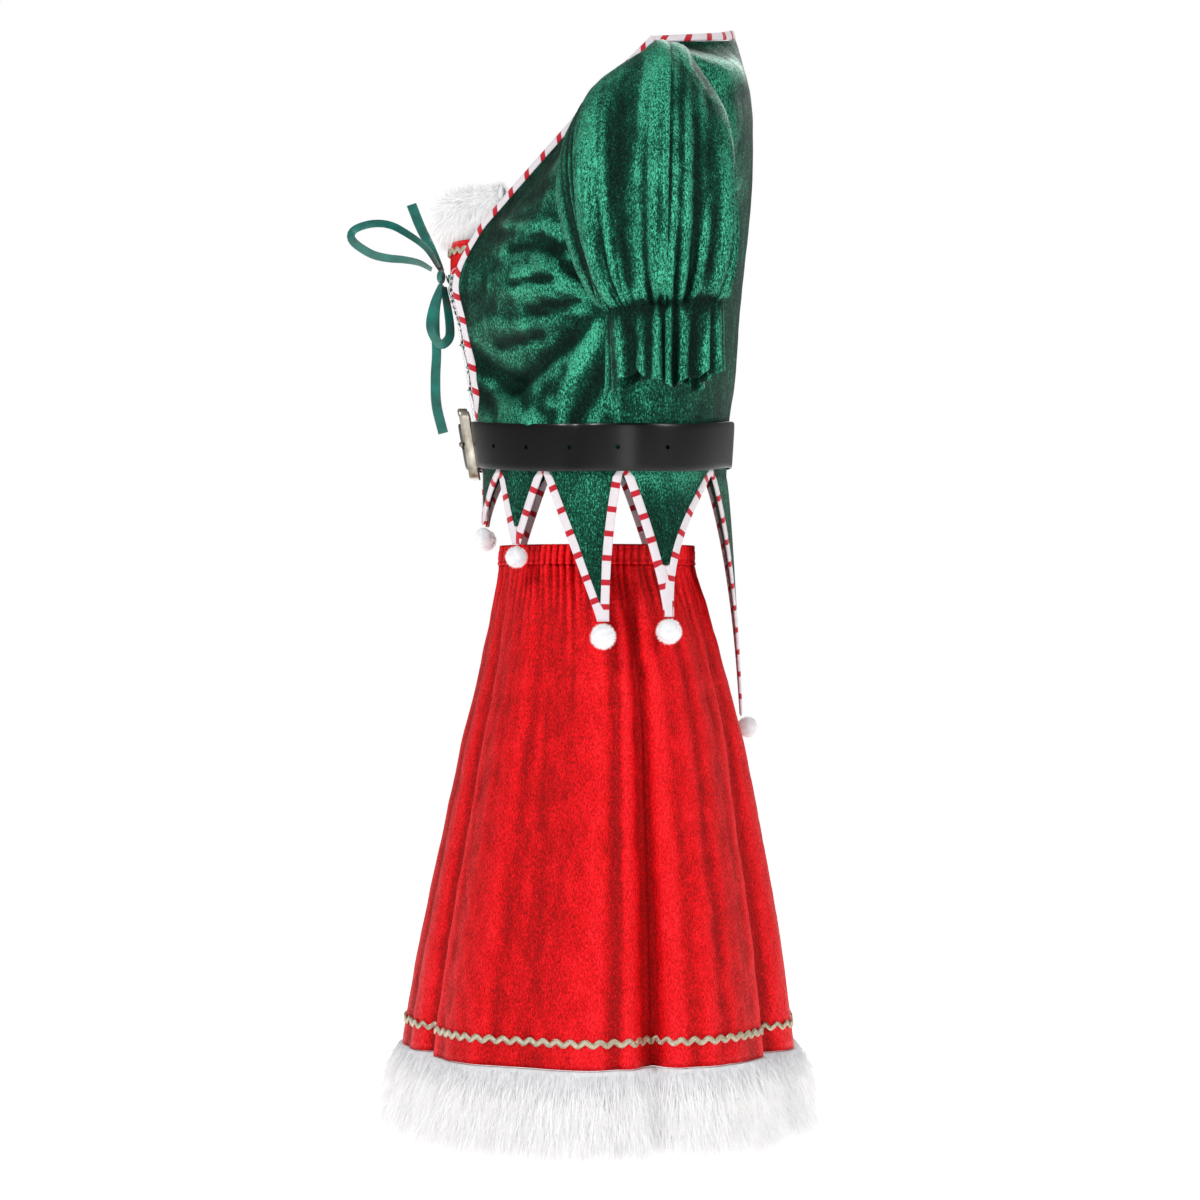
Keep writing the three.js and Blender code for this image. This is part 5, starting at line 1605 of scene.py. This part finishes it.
def hairs(name, roots, ways, longs, wide, sag, locks, pull, seed, sections=3, curl=2.0):
    seed = np.random.default_rng(seed)
    count = len(roots)
    t = np.linspace(0, 1, sections + 1)
    drop = np.array([0, 0, -1.0])
    side = np.cross(ways, seed.normal(size=(count, 3)))
    side /= np.linalg.norm(side, axis=1)[:, None]
    phase = seed.uniform(0, 2 * np.pi, count)
    lines = []
    for value in t:
        reach = ways * (longs * value)[:, None] + drop * (longs * sag * value**2)[:, None]
        wave = side * (curl * value * np.sin(phase + value * 5))[:, None]
        lines.append(roots + reach + wave)
    lines = np.array(lines)
    if locks is not None:
        heads, groups = locks
        tips = lines[-1]
        sums = np.zeros((heads, 3))
        np.add.at(sums, groups, tips)
        sizes = np.maximum(np.bincount(groups, minlength=heads), 1)
        goal = (sums / sizes[:, None])[groups]
        for k, value in enumerate(t):
            lines[k] += (goal - tips) * (pull * value**1.5)
    thin = seed.normal(size=(count, 3))
    flow = lines[-1] - lines[0]
    across = np.cross(flow, thin)
    across /= np.linalg.norm(across, axis=1)[:, None]
    points = []
    for k, value in enumerate(t[:-1]):
        half = across * (wide / 2 * (1 - 0.55 * value))
        points += [lines[k] - half, lines[k] + half]
    points.append(lines[-1])
    per = 2 * sections + 1
    points = np.stack(points, axis=1).reshape(-1, 3)
    faces = []
    for k in range(sections - 1):
        a = 2 * k
        faces += [[a, a + 1, a + 3], [a, a + 3, a + 2]]
    faces.append([2 * sections - 2, 2 * sections - 1, 2 * sections])
    base = (np.arange(count) * per)[:, None, None]
    faces = (np.array(faces)[None] + base).reshape(-1, 3)
    shade = seed.random(count)
    v = np.concatenate([np.repeat(t[:-1], 2), [1.0]])
    uv = np.stack([np.repeat(shade[:, None], per, 1), np.repeat(v[None], count, 0)], -1)
    obj = new_mesh(name, points, faces, uv.reshape(-1, 2))
    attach(obj, "root")
    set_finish(obj, "white_fur")
    return obj


print("hair of 3 sections has", 5, "triangles")

# %% [markdown]
# ## Long fur round the hem
# A plain skin fills the band, and two meshes of hair cover it, one for each half. Roots are
# spread at random, and near neighbours lean into the same lock, so the fur parts in tufts.

# %% Fur of the hem
FUR_SECTION = [
    dict(out=-3, z=-897), dict(out=4, z=-897), dict(out=7, z=-910),
    dict(out=9, z=-940), dict(out=7, z=-955), dict(out=-3, z=-953),
]


def fur_skin():
    angles = np.arange(180) * 2.0
    rings = []
    for row in FUR_SECTION:
        hold = fold_out(angles, row["z"]) * -0.35 * smooth(SKIRT_HEM, SKIRT_HEM - 60, row["z"])
        rings.append(skirt_place(angles, row["z"], row["out"] + hold))
    rings = np.array(rings).transpose(1, 0, 2)
    count, size = rings.shape[:2]
    faces = grid_faces(count, size, True)
    j = np.arange(size)
    k = (j + 1) % size
    last = (count - 1) * size
    faces = np.vstack([faces, np.stack([last + j, last + k, k, j], -1)])
    obj = new_mesh("fur_hem_skin", rings.reshape(-1, 3), faces)
    fix_normals(obj)
    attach(obj, "root")
    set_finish(obj, "white_fur")
    return obj


def fur_place(angle, z, out):
    hold = np.array([float(fold_out(a, b)) for a, b in zip(angle, z)])
    hold = hold * -0.35 * smooth(SKIRT_HEM, SKIRT_HEM - 60, z)
    made = np.zeros((len(angle), 3))
    heights = np.linspace(-895, -960, 40)
    for level in heights:
        near = np.abs(z - level) <= (heights[0] - heights[1]) / 2 + 0.01
        if near.any():
            made[near] = skirt_place(angle[near], level, out[near] + hold[near])
    made[:, 2] = z
    return made


def fur_hem(seed, low, high):
    rng = np.random.default_rng(seed)
    count = HEM_HAIRS
    angle = rng.uniform(low, high, count)
    z = -898 - 54 * rng.random(count) ** 0.8
    roots = fur_place(angle, z, np.full(count, 5.0))
    outs = way_from_axis(roots)
    spread = rng.normal(0, 0.24, (count, 3))
    slope = smooth(-898, -930, z)
    ways = unit(outs * (0.44 - 0.12 * slope)[:, None] + [0, 0, -1] + spread)
    longs = np.minimum(rng.uniform(20, 40, count), (z + 988) * 0.95)
    heads = 900
    lock_angle = rng.uniform(low, high, heads)
    lock_z = -898 - 54 * rng.random(heads) ** 0.8
    cells = np.stack([angle * 3.3, z], -1)
    centres = np.stack([lock_angle * 3.3, lock_z], -1)
    groups = np.empty(count, int)
    for i in range(0, count, 3000):
        gap = cells[i : i + 3000, None] - centres[None]
        groups[i : i + 3000] = np.argmin((gap**2).sum(-1), axis=1)
    return hairs(f"fur_hem_{seed}", roots, ways, longs, 0.68, 0.2, (heads, groups), 0.3, seed,
                 curl=3.2)


skin = fur_skin()
fur_pieces = [fur_hem(41, -90, 90), fur_hem(42, 90, 270)]
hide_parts("skirt_fur")
print("hem fur:", [len(o.data.polygons) for o in fur_pieces])

# %% [markdown]
# ## Short fur on the panel
# A fat roll of fur tops the panel. Its hairs point out all round and sag a little.

# %% Fur over the red panel
FUR_ROLL = [
    dict(x=0, y=-199, z=-154.5, deep=21, tall=25.5),
    dict(x=16, y=-196, z=-153.5, deep=20, tall=25.5),
    dict(x=30, y=-185, z=-149, deep=15, tall=25),
    dict(x=41, y=-168, z=-145, deep=10, tall=20),
    dict(x=48, y=-154, z=-139, deep=6, tall=12),
]


def roll_place(at, turn, share):
    keys = [np.array([pick(FUR_ROLL, key, abs(a)) for a in at])
            for key in ("y", "z", "deep", "tall")]
    x = np.array([pick(FUR_ROLL, "x", abs(a)) for a in at]) * np.sign(at)
    y, z, deep, tall = keys
    place = np.stack([x, y + deep * share * np.cos(turn), z + tall * share * np.sin(turn)], -1)
    way = np.stack([0.25 * x / 48, deep * np.cos(turn), tall * np.sin(turn)], -1)
    return place, unit(way + 1e-6), deep


def roll_skin():
    rings = []
    for at in np.linspace(-4, 4, 33):
        turns = np.linspace(0, 2 * np.pi, 20, endpoint=False)
        rings.append(roll_place(np.full(20, at), turns, 0.5)[0])
    rings = np.array(rings)
    faces = grid_faces(33, 20, True)
    caps = [[base + j, base + j + 1, base + 18 - j, base + 19 - j]
            for base in (0, 32 * 20) for j in range(9)]
    obj = new_mesh("fur_collar_skin", rings.reshape(-1, 3), np.vstack([faces, caps]))
    fix_normals(obj)
    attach(obj, "root")
    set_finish(obj, "white_fur")
    return obj


def roll_fur():
    rng = np.random.default_rng(51)
    count = ROLL_HAIRS
    at = rng.uniform(-4, 4, count)
    turn = rng.uniform(0, 2 * np.pi, count)
    roots, ways, deep = roll_place(at, turn, 0.5)
    ways = unit(ways + [0, 0, -0.35] + rng.normal(0, 0.3, (count, 3)))
    longs = rng.uniform(0.5, 0.95, count) * (deep * 0.9 + 3)
    heads = 420
    groups = rng.integers(0, heads, count)
    centres = roots[rng.choice(count, heads, False)]
    for i in range(0, count, 3000):
        gap = roots[i : i + 3000, None] - centres[None]
        groups[i : i + 3000] = np.argmin((gap**2).sum(-1), axis=1)
    return hairs("fur_collar", roots, ways, longs, 0.55, 0.25, (heads, groups), 0.35, 52)


collar_skin = roll_skin()
collar_fur = roll_fur()
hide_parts("insert_fur")
print("panel fur:", len(collar_fur.data.polygons))


# %% [markdown]
# ## Pompoms
# A pompom is a trimmed ball of yarn: a round core with short hairs of nearly one length,
# so that its outline stays round but not hard.

# %% Pompoms
def pompom(node, seed):
    low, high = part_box(node)
    middle = np.array((low + high) / 2) / MM
    half = np.array(high - low) / 2 / MM
    rng = np.random.default_rng(seed)
    count = POMPOM_HAIRS
    ways = unit(rng.normal(size=(count, 3)))
    roots = middle + ways * half * 0.35
    longs = half.mean() * rng.uniform(0.56, 0.66, count)
    ways = unit(ways * half + rng.normal(0, 1.1, (count, 3)))
    fluff = hairs("fluff_" + node, roots, ways, longs, 0.8, 0.04, None, 0, seed, 2, 0.6)
    bpy.ops.object.select_all(action="DESELECT")
    bpy.ops.mesh.primitive_ico_sphere_add(subdivisions=3, radius=1)
    core = bpy.context.object
    core.name = "core_" + node
    points = np.zeros(len(core.data.vertices) * 3)
    core.data.vertices.foreach_get("co", points)
    points = (points.reshape(-1, 3) * half * 0.84 + middle) * MM
    core.data.vertices.foreach_set("co", points.ravel())
    core.data.shade_smooth()
    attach(core, "root")
    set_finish(core, "white_fur")
    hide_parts(node)
    return fluff, core


pompoms = [pompom(n, 60 + i) for i, n in enumerate(sorted(frame["nodes"])) if "pompom" in n]
print("pompoms:", len(pompoms))

# %% [markdown]
# ## Finishes
# Each finish is a small node tree. An effect that several finishes share, the nap of
# crushed velvet, is a group built once with its own inputs; both tapes come from one function.

# %% Node helpers
def socket(group, name, way, kind, value=None):
    made = group.interface.new_socket(name=name, in_out=way, socket_type=kind)
    if value is not None:
        made.default_value = value
    return made


def srgb(r, g, b):
    return tuple(((c / 255 + 0.055) / 1.055) ** 2.4 if c > 10 else c / 255 / 12.92
                 for c in (r, g, b)) + (1,)


def node(tree, kind, place=(0, 0), **values):
    made = tree.nodes.new(kind)
    made.location = place
    for key, value in values.items():
        if key.startswith("in_"):
            made.inputs[key[3:].replace("_", " ")].default_value = value
        else:
            setattr(made, key, value)
    return made


def ramp(tree, stops, place=(0, 0)):
    made = node(tree, "ShaderNodeValToRGB", place)
    line = made.color_ramp
    while len(line.elements) < len(stops):
        line.elements.new(0.5)
    for element, (at, colour) in zip(line.elements, stops):
        element.position = at
        element.color = colour
    return made


def look(name, roughness=0.8, **constants):
    mat = bpy.data.materials.new(name)
    mat.use_nodes = True
    shader = mat.node_tree.nodes["Principled BSDF"]
    shader.inputs["Roughness"].default_value = roughness
    for key, value in constants.items():
        shader.inputs[key.replace("_", " ")].default_value = value
    return mat, mat.node_tree, shader


print("mid green:", [round(c, 3) for c in srgb(18, 105, 77)])


# %% [markdown]
# ## Crushed velvet
# Crushed pile lies in all directions, so it shows flecks from near black to a bright sheen.
# Three colours are mixed by fine noise, soft patches and the height of the fold: the light flecks
# are a painted sheen, and the fold height paints highlights on ridges and shade in troughs.

# %% Crushed nap: velvet whose pile lies in all directions, with painted sheen and fold shade
def crushed_nap_and_sheen():
    """Fine bright flecks of painted sheen over a dark pile, in soft patches as large as a hand's
    press.
    """
    group = bpy.data.node_groups.new("crushed nap", "ShaderNodeTree")
    for name in ("Dark", "Mid", "Light"):
        socket(group, name, "INPUT", "NodeSocketColor", (0.5, 0.5, 0.5, 1))
    socket(group, "Patches", "INPUT", "NodeSocketFloat", 1.0)
    socket(group, "Lie", "INPUT", "NodeSocketFloat", 0.0)
    socket(group, "Color", "OUTPUT", "NodeSocketColor")
    socket(group, "Roughness", "OUTPUT", "NodeSocketFloat")
    socket(group, "Height", "OUTPUT", "NodeSocketFloat")
    link = group.links.new
    start = node(group, "NodeGroupInput", (-1400, 0))
    end = node(group, "NodeGroupOutput", (900, 0))
    place = node(group, "ShaderNodeTexCoord", (-1400, -300))
    long = node(group, "ShaderNodeMapping", (-1200, -300))
    long.inputs["Scale"].default_value = (1, 1, 0.5)
    link(place.outputs["Object"], long.inputs["Vector"])
    patch = node(group, "ShaderNodeTexNoise", (-900, 200), in_Scale=26, in_Detail=3,
                 in_Roughness=0.55, in_Distortion=0.8)
    fleck = node(group, "ShaderNodeTexNoise", (-900, -100), in_Scale=760, in_Detail=3,
                 in_Roughness=0.75)
    pile = node(group, "ShaderNodeTexNoise", (-900, -400), in_Scale=1500, in_Detail=2)
    link(long.outputs["Vector"], patch.inputs["Vector"])
    link(long.outputs["Vector"], fleck.inputs["Vector"])
    link(place.outputs["Object"], pile.inputs["Vector"])
    both = node(group, "ShaderNodeMath", (-600, 0), operation="MULTIPLY_ADD")
    both.inputs[1].default_value = 0.5
    link(pile.outputs["Fac"], both.inputs[0])
    link(fleck.outputs["Fac"], both.inputs[2])
    centred = node(group, "ShaderNodeMath", (-650, 250), operation="SUBTRACT")
    centred.inputs[1].default_value = 0.5
    link(patch.outputs["Fac"], centred.inputs[0])
    sized = node(group, "ShaderNodeMath", (-500, 300), operation="MULTIPLY")
    link(centred.outputs[0], sized.inputs[0])
    link(start.outputs["Patches"], sized.inputs[1])
    # Fold height paints highlights on ridges and shade in troughs; the patches are random tone of
    # the pile.
    fold_shade_and_patches = node(group, "ShaderNodeMath", (-500, 500), operation="ADD")
    link(start.outputs["Lie"], fold_shade_and_patches.inputs[0])
    link(sized.outputs[0], fold_shade_and_patches.inputs[1])
    total = node(group, "ShaderNodeMath", (-350, 100), operation="ADD")
    link(both.outputs[0], total.inputs[0])
    link(fold_shade_and_patches.outputs[0], total.inputs[1])
    # Low totals, in troughs and dark flecks, turn to the dark colour: painted shade over the pile's
    # deep tone.
    low = node(group, "ShaderNodeMapRange", (-150, 200))
    low.inputs["From Min"].default_value = 0.6
    low.inputs["From Max"].default_value = 0.82
    # High totals turn to the light colour: painted sheen glints.
    high = node(group, "ShaderNodeMapRange", (-150, -100))
    high.inputs["From Min"].default_value = 0.84
    high.inputs["From Max"].default_value = 1.04
    rough = node(group, "ShaderNodeMapRange", (350, -150))
    rough.inputs["From Min"].default_value = 0.6
    rough.inputs["From Max"].default_value = 1.0
    rough.inputs["To Min"].default_value = 0.6
    rough.inputs["To Max"].default_value = 0.3
    for part in (low, high, rough):
        link(total.outputs[0], part.inputs["Value"])
    first = node(group, "ShaderNodeMix", (100, 200), data_type="RGBA")
    second = node(group, "ShaderNodeMix", (350, 100), data_type="RGBA")
    link(low.outputs[0], first.inputs["Factor"])
    link(start.outputs["Dark"], first.inputs[6])
    link(start.outputs["Mid"], first.inputs[7])
    link(high.outputs[0], second.inputs["Factor"])
    link(first.outputs[2], second.inputs[6])
    link(start.outputs["Light"], second.inputs[7])
    link(second.outputs[2], end.inputs["Color"])
    link(rough.outputs[0], end.inputs["Roughness"])
    link(both.outputs[0], end.inputs["Height"])
    return group


NAP_AND_SHEEN = crushed_nap_and_sheen()


def velvet(name, dark, mid, light, tint, metallic, patches, fold_shade_strength):
    mat, tree, shader = look(name, 0.5, Sheen_Weight=0.03, Sheen_Roughness=0.35,
                             Sheen_Tint=tint, Specular_IOR_Level=0.2, Metallic=metallic)
    nap_and_sheen = node(tree, "ShaderNodeGroup", (-600, 0), node_tree=NAP_AND_SHEEN)
    for key, colour in (("Dark", dark), ("Mid", mid), ("Light", light)):
        nap_and_sheen.inputs[key].default_value = colour
    nap_and_sheen.inputs["Patches"].default_value = patches
    # This map paints the fold shade into the colour: ridges lighter, troughs darker.
    fold_shade_map = node(tree, "ShaderNodeUVMap", (-1000, 100), uv_map="lie")
    parts = node(tree, "ShaderNodeSeparateXYZ", (-800, 100))
    tree.links.new(fold_shade_map.outputs["UV"], parts.inputs[0])
    scaled = node(tree, "ShaderNodeMath", (-700, 200), operation="MULTIPLY")
    scaled.inputs[1].default_value = fold_shade_strength
    tree.links.new(parts.outputs["X"], scaled.inputs[0])
    tree.links.new(scaled.outputs[0], nap_and_sheen.inputs["Lie"])
    bump = node(tree, "ShaderNodeBump", (-250, -200), in_Strength=0.7, in_Distance=0.0012)
    tree.links.new(nap_and_sheen.outputs["Color"], shader.inputs["Base Color"])
    tree.links.new(nap_and_sheen.outputs["Roughness"], shader.inputs["Roughness"])
    tree.links.new(nap_and_sheen.outputs["Height"], bump.inputs["Height"])
    tree.links.new(bump.outputs["Normal"], shader.inputs["Normal"])
    return mat


# Mid is each velvet's own colour; dark stands in for painted shade and light for a painted sheen.
green = velvet("green crushed velvet", srgb(1, 22, 16), srgb(4, 70, 52), srgb(82, 204, 162),
               srgb(60, 180, 145), 0.62, 0.3, 0.14)
red = velvet("red crushed velvet", srgb(140, 0, 2), srgb(232, 0, 10), srgb(255, 44, 56),
             srgb(255, 40, 40), 0.35, 0.14, 0.11)
print("velvets:", green.name, red.name)


# %% [markdown]
# ## Tape, ribbon and pile
# Stripes follow the tape's own UV map. Satin has a soft stretched shine and faint ribs. Fur
# is whiter at the tips than at the roots, because little light gets down to them, and it glows
# faintly with painted light.

# %% Striped tape, satin and fur
def striped_tape(name, period, red_share, slant):
    mat, tree, shader = look(name, 0.75, Sheen_Weight=0.25, Specular_IOR_Level=0.25)
    link = tree.links.new
    uv = node(tree, "ShaderNodeUVMap", (-1300, 0), uv_map="cut")
    parts = node(tree, "ShaderNodeSeparateXYZ", (-1100, 0))
    link(uv.outputs["UV"], parts.inputs[0])
    lean = node(tree, "ShaderNodeMath", (-900, 0), operation="MULTIPLY_ADD")
    lean.inputs[1].default_value = slant
    link(parts.outputs["Y"], lean.inputs[0])
    link(parts.outputs["X"], lean.inputs[2])
    turn = node(tree, "ShaderNodeMath", (-700, 0), operation="DIVIDE")
    turn.inputs[1].default_value = period
    link(lean.outputs[0], turn.inputs[0])
    saw = node(tree, "ShaderNodeMath", (-520, 0), operation="FRACT")
    link(turn.outputs[0], saw.inputs[0])
    white, crimson = srgb(222, 214, 219), srgb(186, 10, 36)
    soft = 0.02
    colours = ramp(tree, [(0, crimson), (red_share, crimson), (red_share + soft, white),
                          (1 - soft, white), (1, crimson)], (-340, 0))
    link(saw.outputs[0], colours.inputs["Fac"])
    link(colours.outputs["Color"], shader.inputs["Base Color"])
    weave = node(tree, "ShaderNodeTexNoise", (-700, -350), in_Scale=1.6, in_Detail=3)
    ribs = node(tree, "ShaderNodeTexWave", (-700, -600), in_Scale=0.9, in_Distortion=0.6)
    link(uv.outputs["UV"], weave.inputs["Vector"])
    link(uv.outputs["UV"], ribs.inputs["Vector"])
    both = node(tree, "ShaderNodeMath", (-450, -450), operation="ADD")
    link(weave.outputs["Fac"], both.inputs[0])
    link(ribs.outputs["Fac"], both.inputs[1])
    bump = node(tree, "ShaderNodeBump", (-250, -400), in_Strength=0.35, in_Distance=0.0004)
    link(both.outputs[0], bump.inputs["Height"])
    link(bump.outputs["Normal"], shader.inputs["Normal"])
    return mat


hem_stripes = striped_tape("tape with square stripes", 21, 0.22, 0.0)
neck_stripes = striped_tape("tape with slanted stripes", 21.5, 0.26, -0.55)


def satin_look():
    mat, tree, shader = look("teal satin", 0.32, Sheen_Weight=0.08, Anisotropic=0.6,
                             Specular_IOR_Level=0.5)
    uv = node(tree, "ShaderNodeUVMap", (-1000, 0), uv_map="cut")
    wave = node(tree, "ShaderNodeTexWave", (-700, -200), in_Scale=1.6, in_Distortion=0.2)
    tree.links.new(uv.outputs["UV"], wave.inputs["Vector"])
    cloudy = node(tree, "ShaderNodeTexNoise", (-700, 150), in_Scale=0.06, in_Detail=2)
    tree.links.new(uv.outputs["UV"], cloudy.inputs["Vector"])
    colours = ramp(tree, [(0.3, srgb(6, 76, 68)), (0.7, srgb(14, 116, 104))], (-450, 150))
    tree.links.new(cloudy.outputs["Fac"], colours.inputs["Fac"])
    tree.links.new(colours.outputs["Color"], shader.inputs["Base Color"])
    bump = node(tree, "ShaderNodeBump", (-300, -200), in_Strength=0.2, in_Distance=0.0002)
    tree.links.new(wave.outputs["Fac"], bump.inputs["Height"])
    tree.links.new(bump.outputs["Normal"], shader.inputs["Normal"])
    return mat


def fur_look():
    # The white emission is a painted glow, standing in for light that passes through the pile.
    mat, tree, shader = look("white pile", 0.8, Specular_IOR_Level=0.15,
                             Emission_Color=(1, 1, 1, 1), Emission_Strength=0.13)
    uv = node(tree, "ShaderNodeUVMap", (-900, 0), uv_map="cut")
    parts = node(tree, "ShaderNodeSeparateXYZ", (-700, 0))
    tree.links.new(uv.outputs["UV"], parts.inputs[0])
    along = ramp(tree, [(0, srgb(216, 217, 221)), (0.6, srgb(247, 247, 248))], (-500, 100))
    tree.links.new(parts.outputs["Y"], along.inputs["Fac"])
    tone = ramp(tree, [(0, srgb(238, 236, 234)), (1, srgb(255, 255, 255))], (-500, -150))
    tree.links.new(parts.outputs["X"], tone.inputs["Fac"])
    mix = node(tree, "ShaderNodeMix", (-200, 0), data_type="RGBA", blend_type="MULTIPLY")
    mix.inputs["Factor"].default_value = 1
    tree.links.new(along.outputs["Color"], mix.inputs[6])
    tree.links.new(tone.outputs["Color"], mix.inputs[7])
    tree.links.new(mix.outputs[2], shader.inputs["Base Color"])
    return mat


def skin_look():
    # The faint white emission is a painted glow on the skins and pompom cores.
    mat, tree, shader = look("white fur backing", 0.9, Specular_IOR_Level=0.1,
                             Emission_Color=(1, 1, 1, 1), Emission_Strength=0.03)
    place = node(tree, "ShaderNodeTexCoord", (-900, 0))
    lumps = node(tree, "ShaderNodeTexNoise", (-700, 0), in_Scale=180, in_Detail=3)
    tree.links.new(place.outputs["Object"], lumps.inputs["Vector"])
    colours = ramp(tree, [(0.3, srgb(212, 213, 217)), (0.7, srgb(236, 237, 239))], (-450, 0))
    tree.links.new(lumps.outputs["Fac"], colours.inputs["Fac"])
    tree.links.new(colours.outputs["Color"], shader.inputs["Base Color"])
    return mat


satin, white_pile, backing = satin_look(), fur_look(), skin_look()
print("tape, satin and fur ready")


# %% [markdown]
# ## Leather and metal
# Leather is almost black under a thin coat, so it shines in broad bands. The metals are
# stained by noise, which changes both their colour and how sharp their shine is.

# %% Leather, buckle metal and metal thread
def leather_look():
    mat, tree, shader = look("black grained leather", 0.4, Specular_IOR_Level=0.2,
                             Coat_Weight=0.32, Coat_Roughness=0.24)
    place = node(tree, "ShaderNodeTexCoord", (-1100, 0))
    cells = node(tree, "ShaderNodeTexVoronoi", (-800, 0), in_Scale=900)
    cells.feature = "DISTANCE_TO_EDGE"
    grain = node(tree, "ShaderNodeTexNoise", (-800, -300), in_Scale=420, in_Detail=4)
    tree.links.new(place.outputs["Object"], cells.inputs["Vector"])
    tree.links.new(place.outputs["Object"], grain.inputs["Vector"])
    both = node(tree, "ShaderNodeMath", (-550, -100), operation="ADD")
    tree.links.new(cells.outputs["Distance"], both.inputs[0])
    tree.links.new(grain.outputs["Fac"], both.inputs[1])
    colours = ramp(tree, [(0.3, srgb(3, 3, 4)), (0.75, srgb(9, 9, 10))], (-300, 150))
    tree.links.new(grain.outputs["Fac"], colours.inputs["Fac"])
    tree.links.new(colours.outputs["Color"], shader.inputs["Base Color"])
    shine = node(tree, "ShaderNodeMapRange", (-300, -100))
    shine.inputs["To Min"].default_value = 0.4
    shine.inputs["To Max"].default_value = 0.24
    tree.links.new(grain.outputs["Fac"], shine.inputs["Value"])
    tree.links.new(shine.outputs[0], shader.inputs["Roughness"])
    bump = node(tree, "ShaderNodeBump", (-300, -300), in_Strength=0.22, in_Distance=0.0004)
    tree.links.new(both.outputs[0], bump.inputs["Height"])
    tree.links.new(bump.outputs["Normal"], shader.inputs["Normal"])
    return mat


def metal_look(name, dark, light, roughness, scale):
    mat, tree, shader = look(name, roughness, Metallic=1.0)
    place = node(tree, "ShaderNodeTexCoord", (-900, 0))
    stain = node(tree, "ShaderNodeTexNoise", (-700, 0), in_Scale=scale, in_Detail=5)
    tree.links.new(place.outputs["Object"], stain.inputs["Vector"])
    colours = ramp(tree, [(0.32, dark), (0.62, light)], (-450, 100))
    tree.links.new(stain.outputs["Fac"], colours.inputs["Fac"])
    tree.links.new(colours.outputs["Color"], shader.inputs["Base Color"])
    rough = node(tree, "ShaderNodeMapRange", (-450, -200))
    rough.inputs["To Min"].default_value = roughness + 0.18
    rough.inputs["To Max"].default_value = roughness - 0.1
    tree.links.new(stain.outputs["Fac"], rough.inputs["Value"])
    tree.links.new(rough.outputs[0], shader.inputs["Roughness"])
    bump = node(tree, "ShaderNodeBump", (-300, -350), in_Strength=0.25, in_Distance=0.0003)
    tree.links.new(stain.outputs["Fac"], bump.inputs["Height"])
    tree.links.new(bump.outputs["Normal"], shader.inputs["Normal"])
    return mat


def braid_look():
    mat, tree, shader = look("gold metal thread", 0.35, Metallic=0.85)
    uv = node(tree, "ShaderNodeUVMap", (-1100, 0), uv_map="cut")
    plait = node(tree, "ShaderNodeTexWave", (-800, 0), in_Scale=0.55, in_Distortion=1.2)
    plait.bands_direction = "DIAGONAL"
    tree.links.new(uv.outputs["UV"], plait.inputs["Vector"])
    colours = ramp(tree, [(0.1, srgb(112, 88, 34)), (0.45, srgb(196, 172, 96)),
                          (0.8, srgb(240, 234, 212)), (1, srgb(250, 250, 246))], (-450, 100))
    tree.links.new(plait.outputs["Fac"], colours.inputs["Fac"])
    tree.links.new(colours.outputs["Color"], shader.inputs["Base Color"])
    bump = node(tree, "ShaderNodeBump", (-300, -200), in_Strength=0.6, in_Distance=0.0006)
    tree.links.new(plait.outputs["Fac"], bump.inputs["Height"])
    tree.links.new(bump.outputs["Normal"], shader.inputs["Normal"])
    return mat


leather = leather_look()
silver = metal_look("antique silver", srgb(120, 110, 92), srgb(214, 208, 194), 0.3, 60)
gold = braid_look()
print("leather, metal and braid ready")

# %% [markdown]
# ## Dressing every piece
# Each piece takes its finish by slot. The nodes that stay as they are, such as the prong, the
# keeper and the bow's knot, get the same finishes.

# %% Finishes by slot
LOOKS = {"green_velvet": green, "red_velvet": red, "striped_binding": hem_stripes,
         "white_fur": white_pile, "satin_ribbon": satin, "belt_leather": leather,
         "buckle_metal": silver, "gold_braid": gold}


def dress(obj, mat):
    obj.data.materials.clear()
    obj.data.materials.append(mat)


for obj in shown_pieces():
    kind = obj.get("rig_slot")
    if "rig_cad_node" in obj or kind is None:
        continue
    dress(obj, LOOKS[kind])
dress(neck_tape, neck_stripes)
cotton = look("white cotton thread", 0.7)[0]
cotton.node_tree.nodes["Principled BSDF"].inputs["Base Color"].default_value = srgb(212, 209, 213)
for obj in thread_loops:
    dress(obj, cotton)
for obj in [skin, collar_skin] + [core for _, core in pompoms]:
    dress(obj, backing)
KEPT = {"buckle_prong": silver, "belt_keeper": leather, "bow_knot": satin}
for name, mat in KEPT.items():
    dress(frame["nodes"][name], mat)

# %% [markdown]
# ## Cut pieces
# Each cloth piece is listed with the size and flat area of its pattern piece, and the area it
# hangs with is printed beside it. Gathered pieces are cut wider than they hang.

# %% Sheets
CUTS = [
    dict(piece=front_left, wide=0.26, tall=0.46, area=0.066, held="stretched"),
    dict(piece=front_right, wide=0.26, tall=0.46, area=0.066, held="stretched"),
    dict(piece=back, wide=0.42, tall=0.63, area=0.178, held="stretched"),
    dict(piece=sleeve_left, wide=0.42, tall=0.36, area=0.13, held="gathered"),
    dict(piece=sleeve_right, wide=0.42, tall=0.36, area=0.13, held="gathered"),
    dict(piece=insert_panel, wide=0.105, tall=0.21, area=0.0215, held="stretched"),
    dict(piece=skirt, wide=1.25, tall=0.44, area=0.52, held="gathered"),
    dict(piece=waistband, wide=0.9, tall=0.019, area=0.0165, held="gathered"),
]
for cut in CUTS:
    name = cut["piece"].name
    print(name, "hangs with", round(FLAT[name], 4), "of", cut["area"], "m2 cut")

# %% [markdown]
# ## Measuring
# The triangles that the dressed set adds are counted.

# %% Measure and finish
bpy.context.scene.view_settings.view_transform = "Standard"
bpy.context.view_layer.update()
total = 0
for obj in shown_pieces():
    if "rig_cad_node" not in obj:
        obj.data.calc_loop_triangles()
        total += len(obj.data.loop_triangles)
print("triangles added:", total)
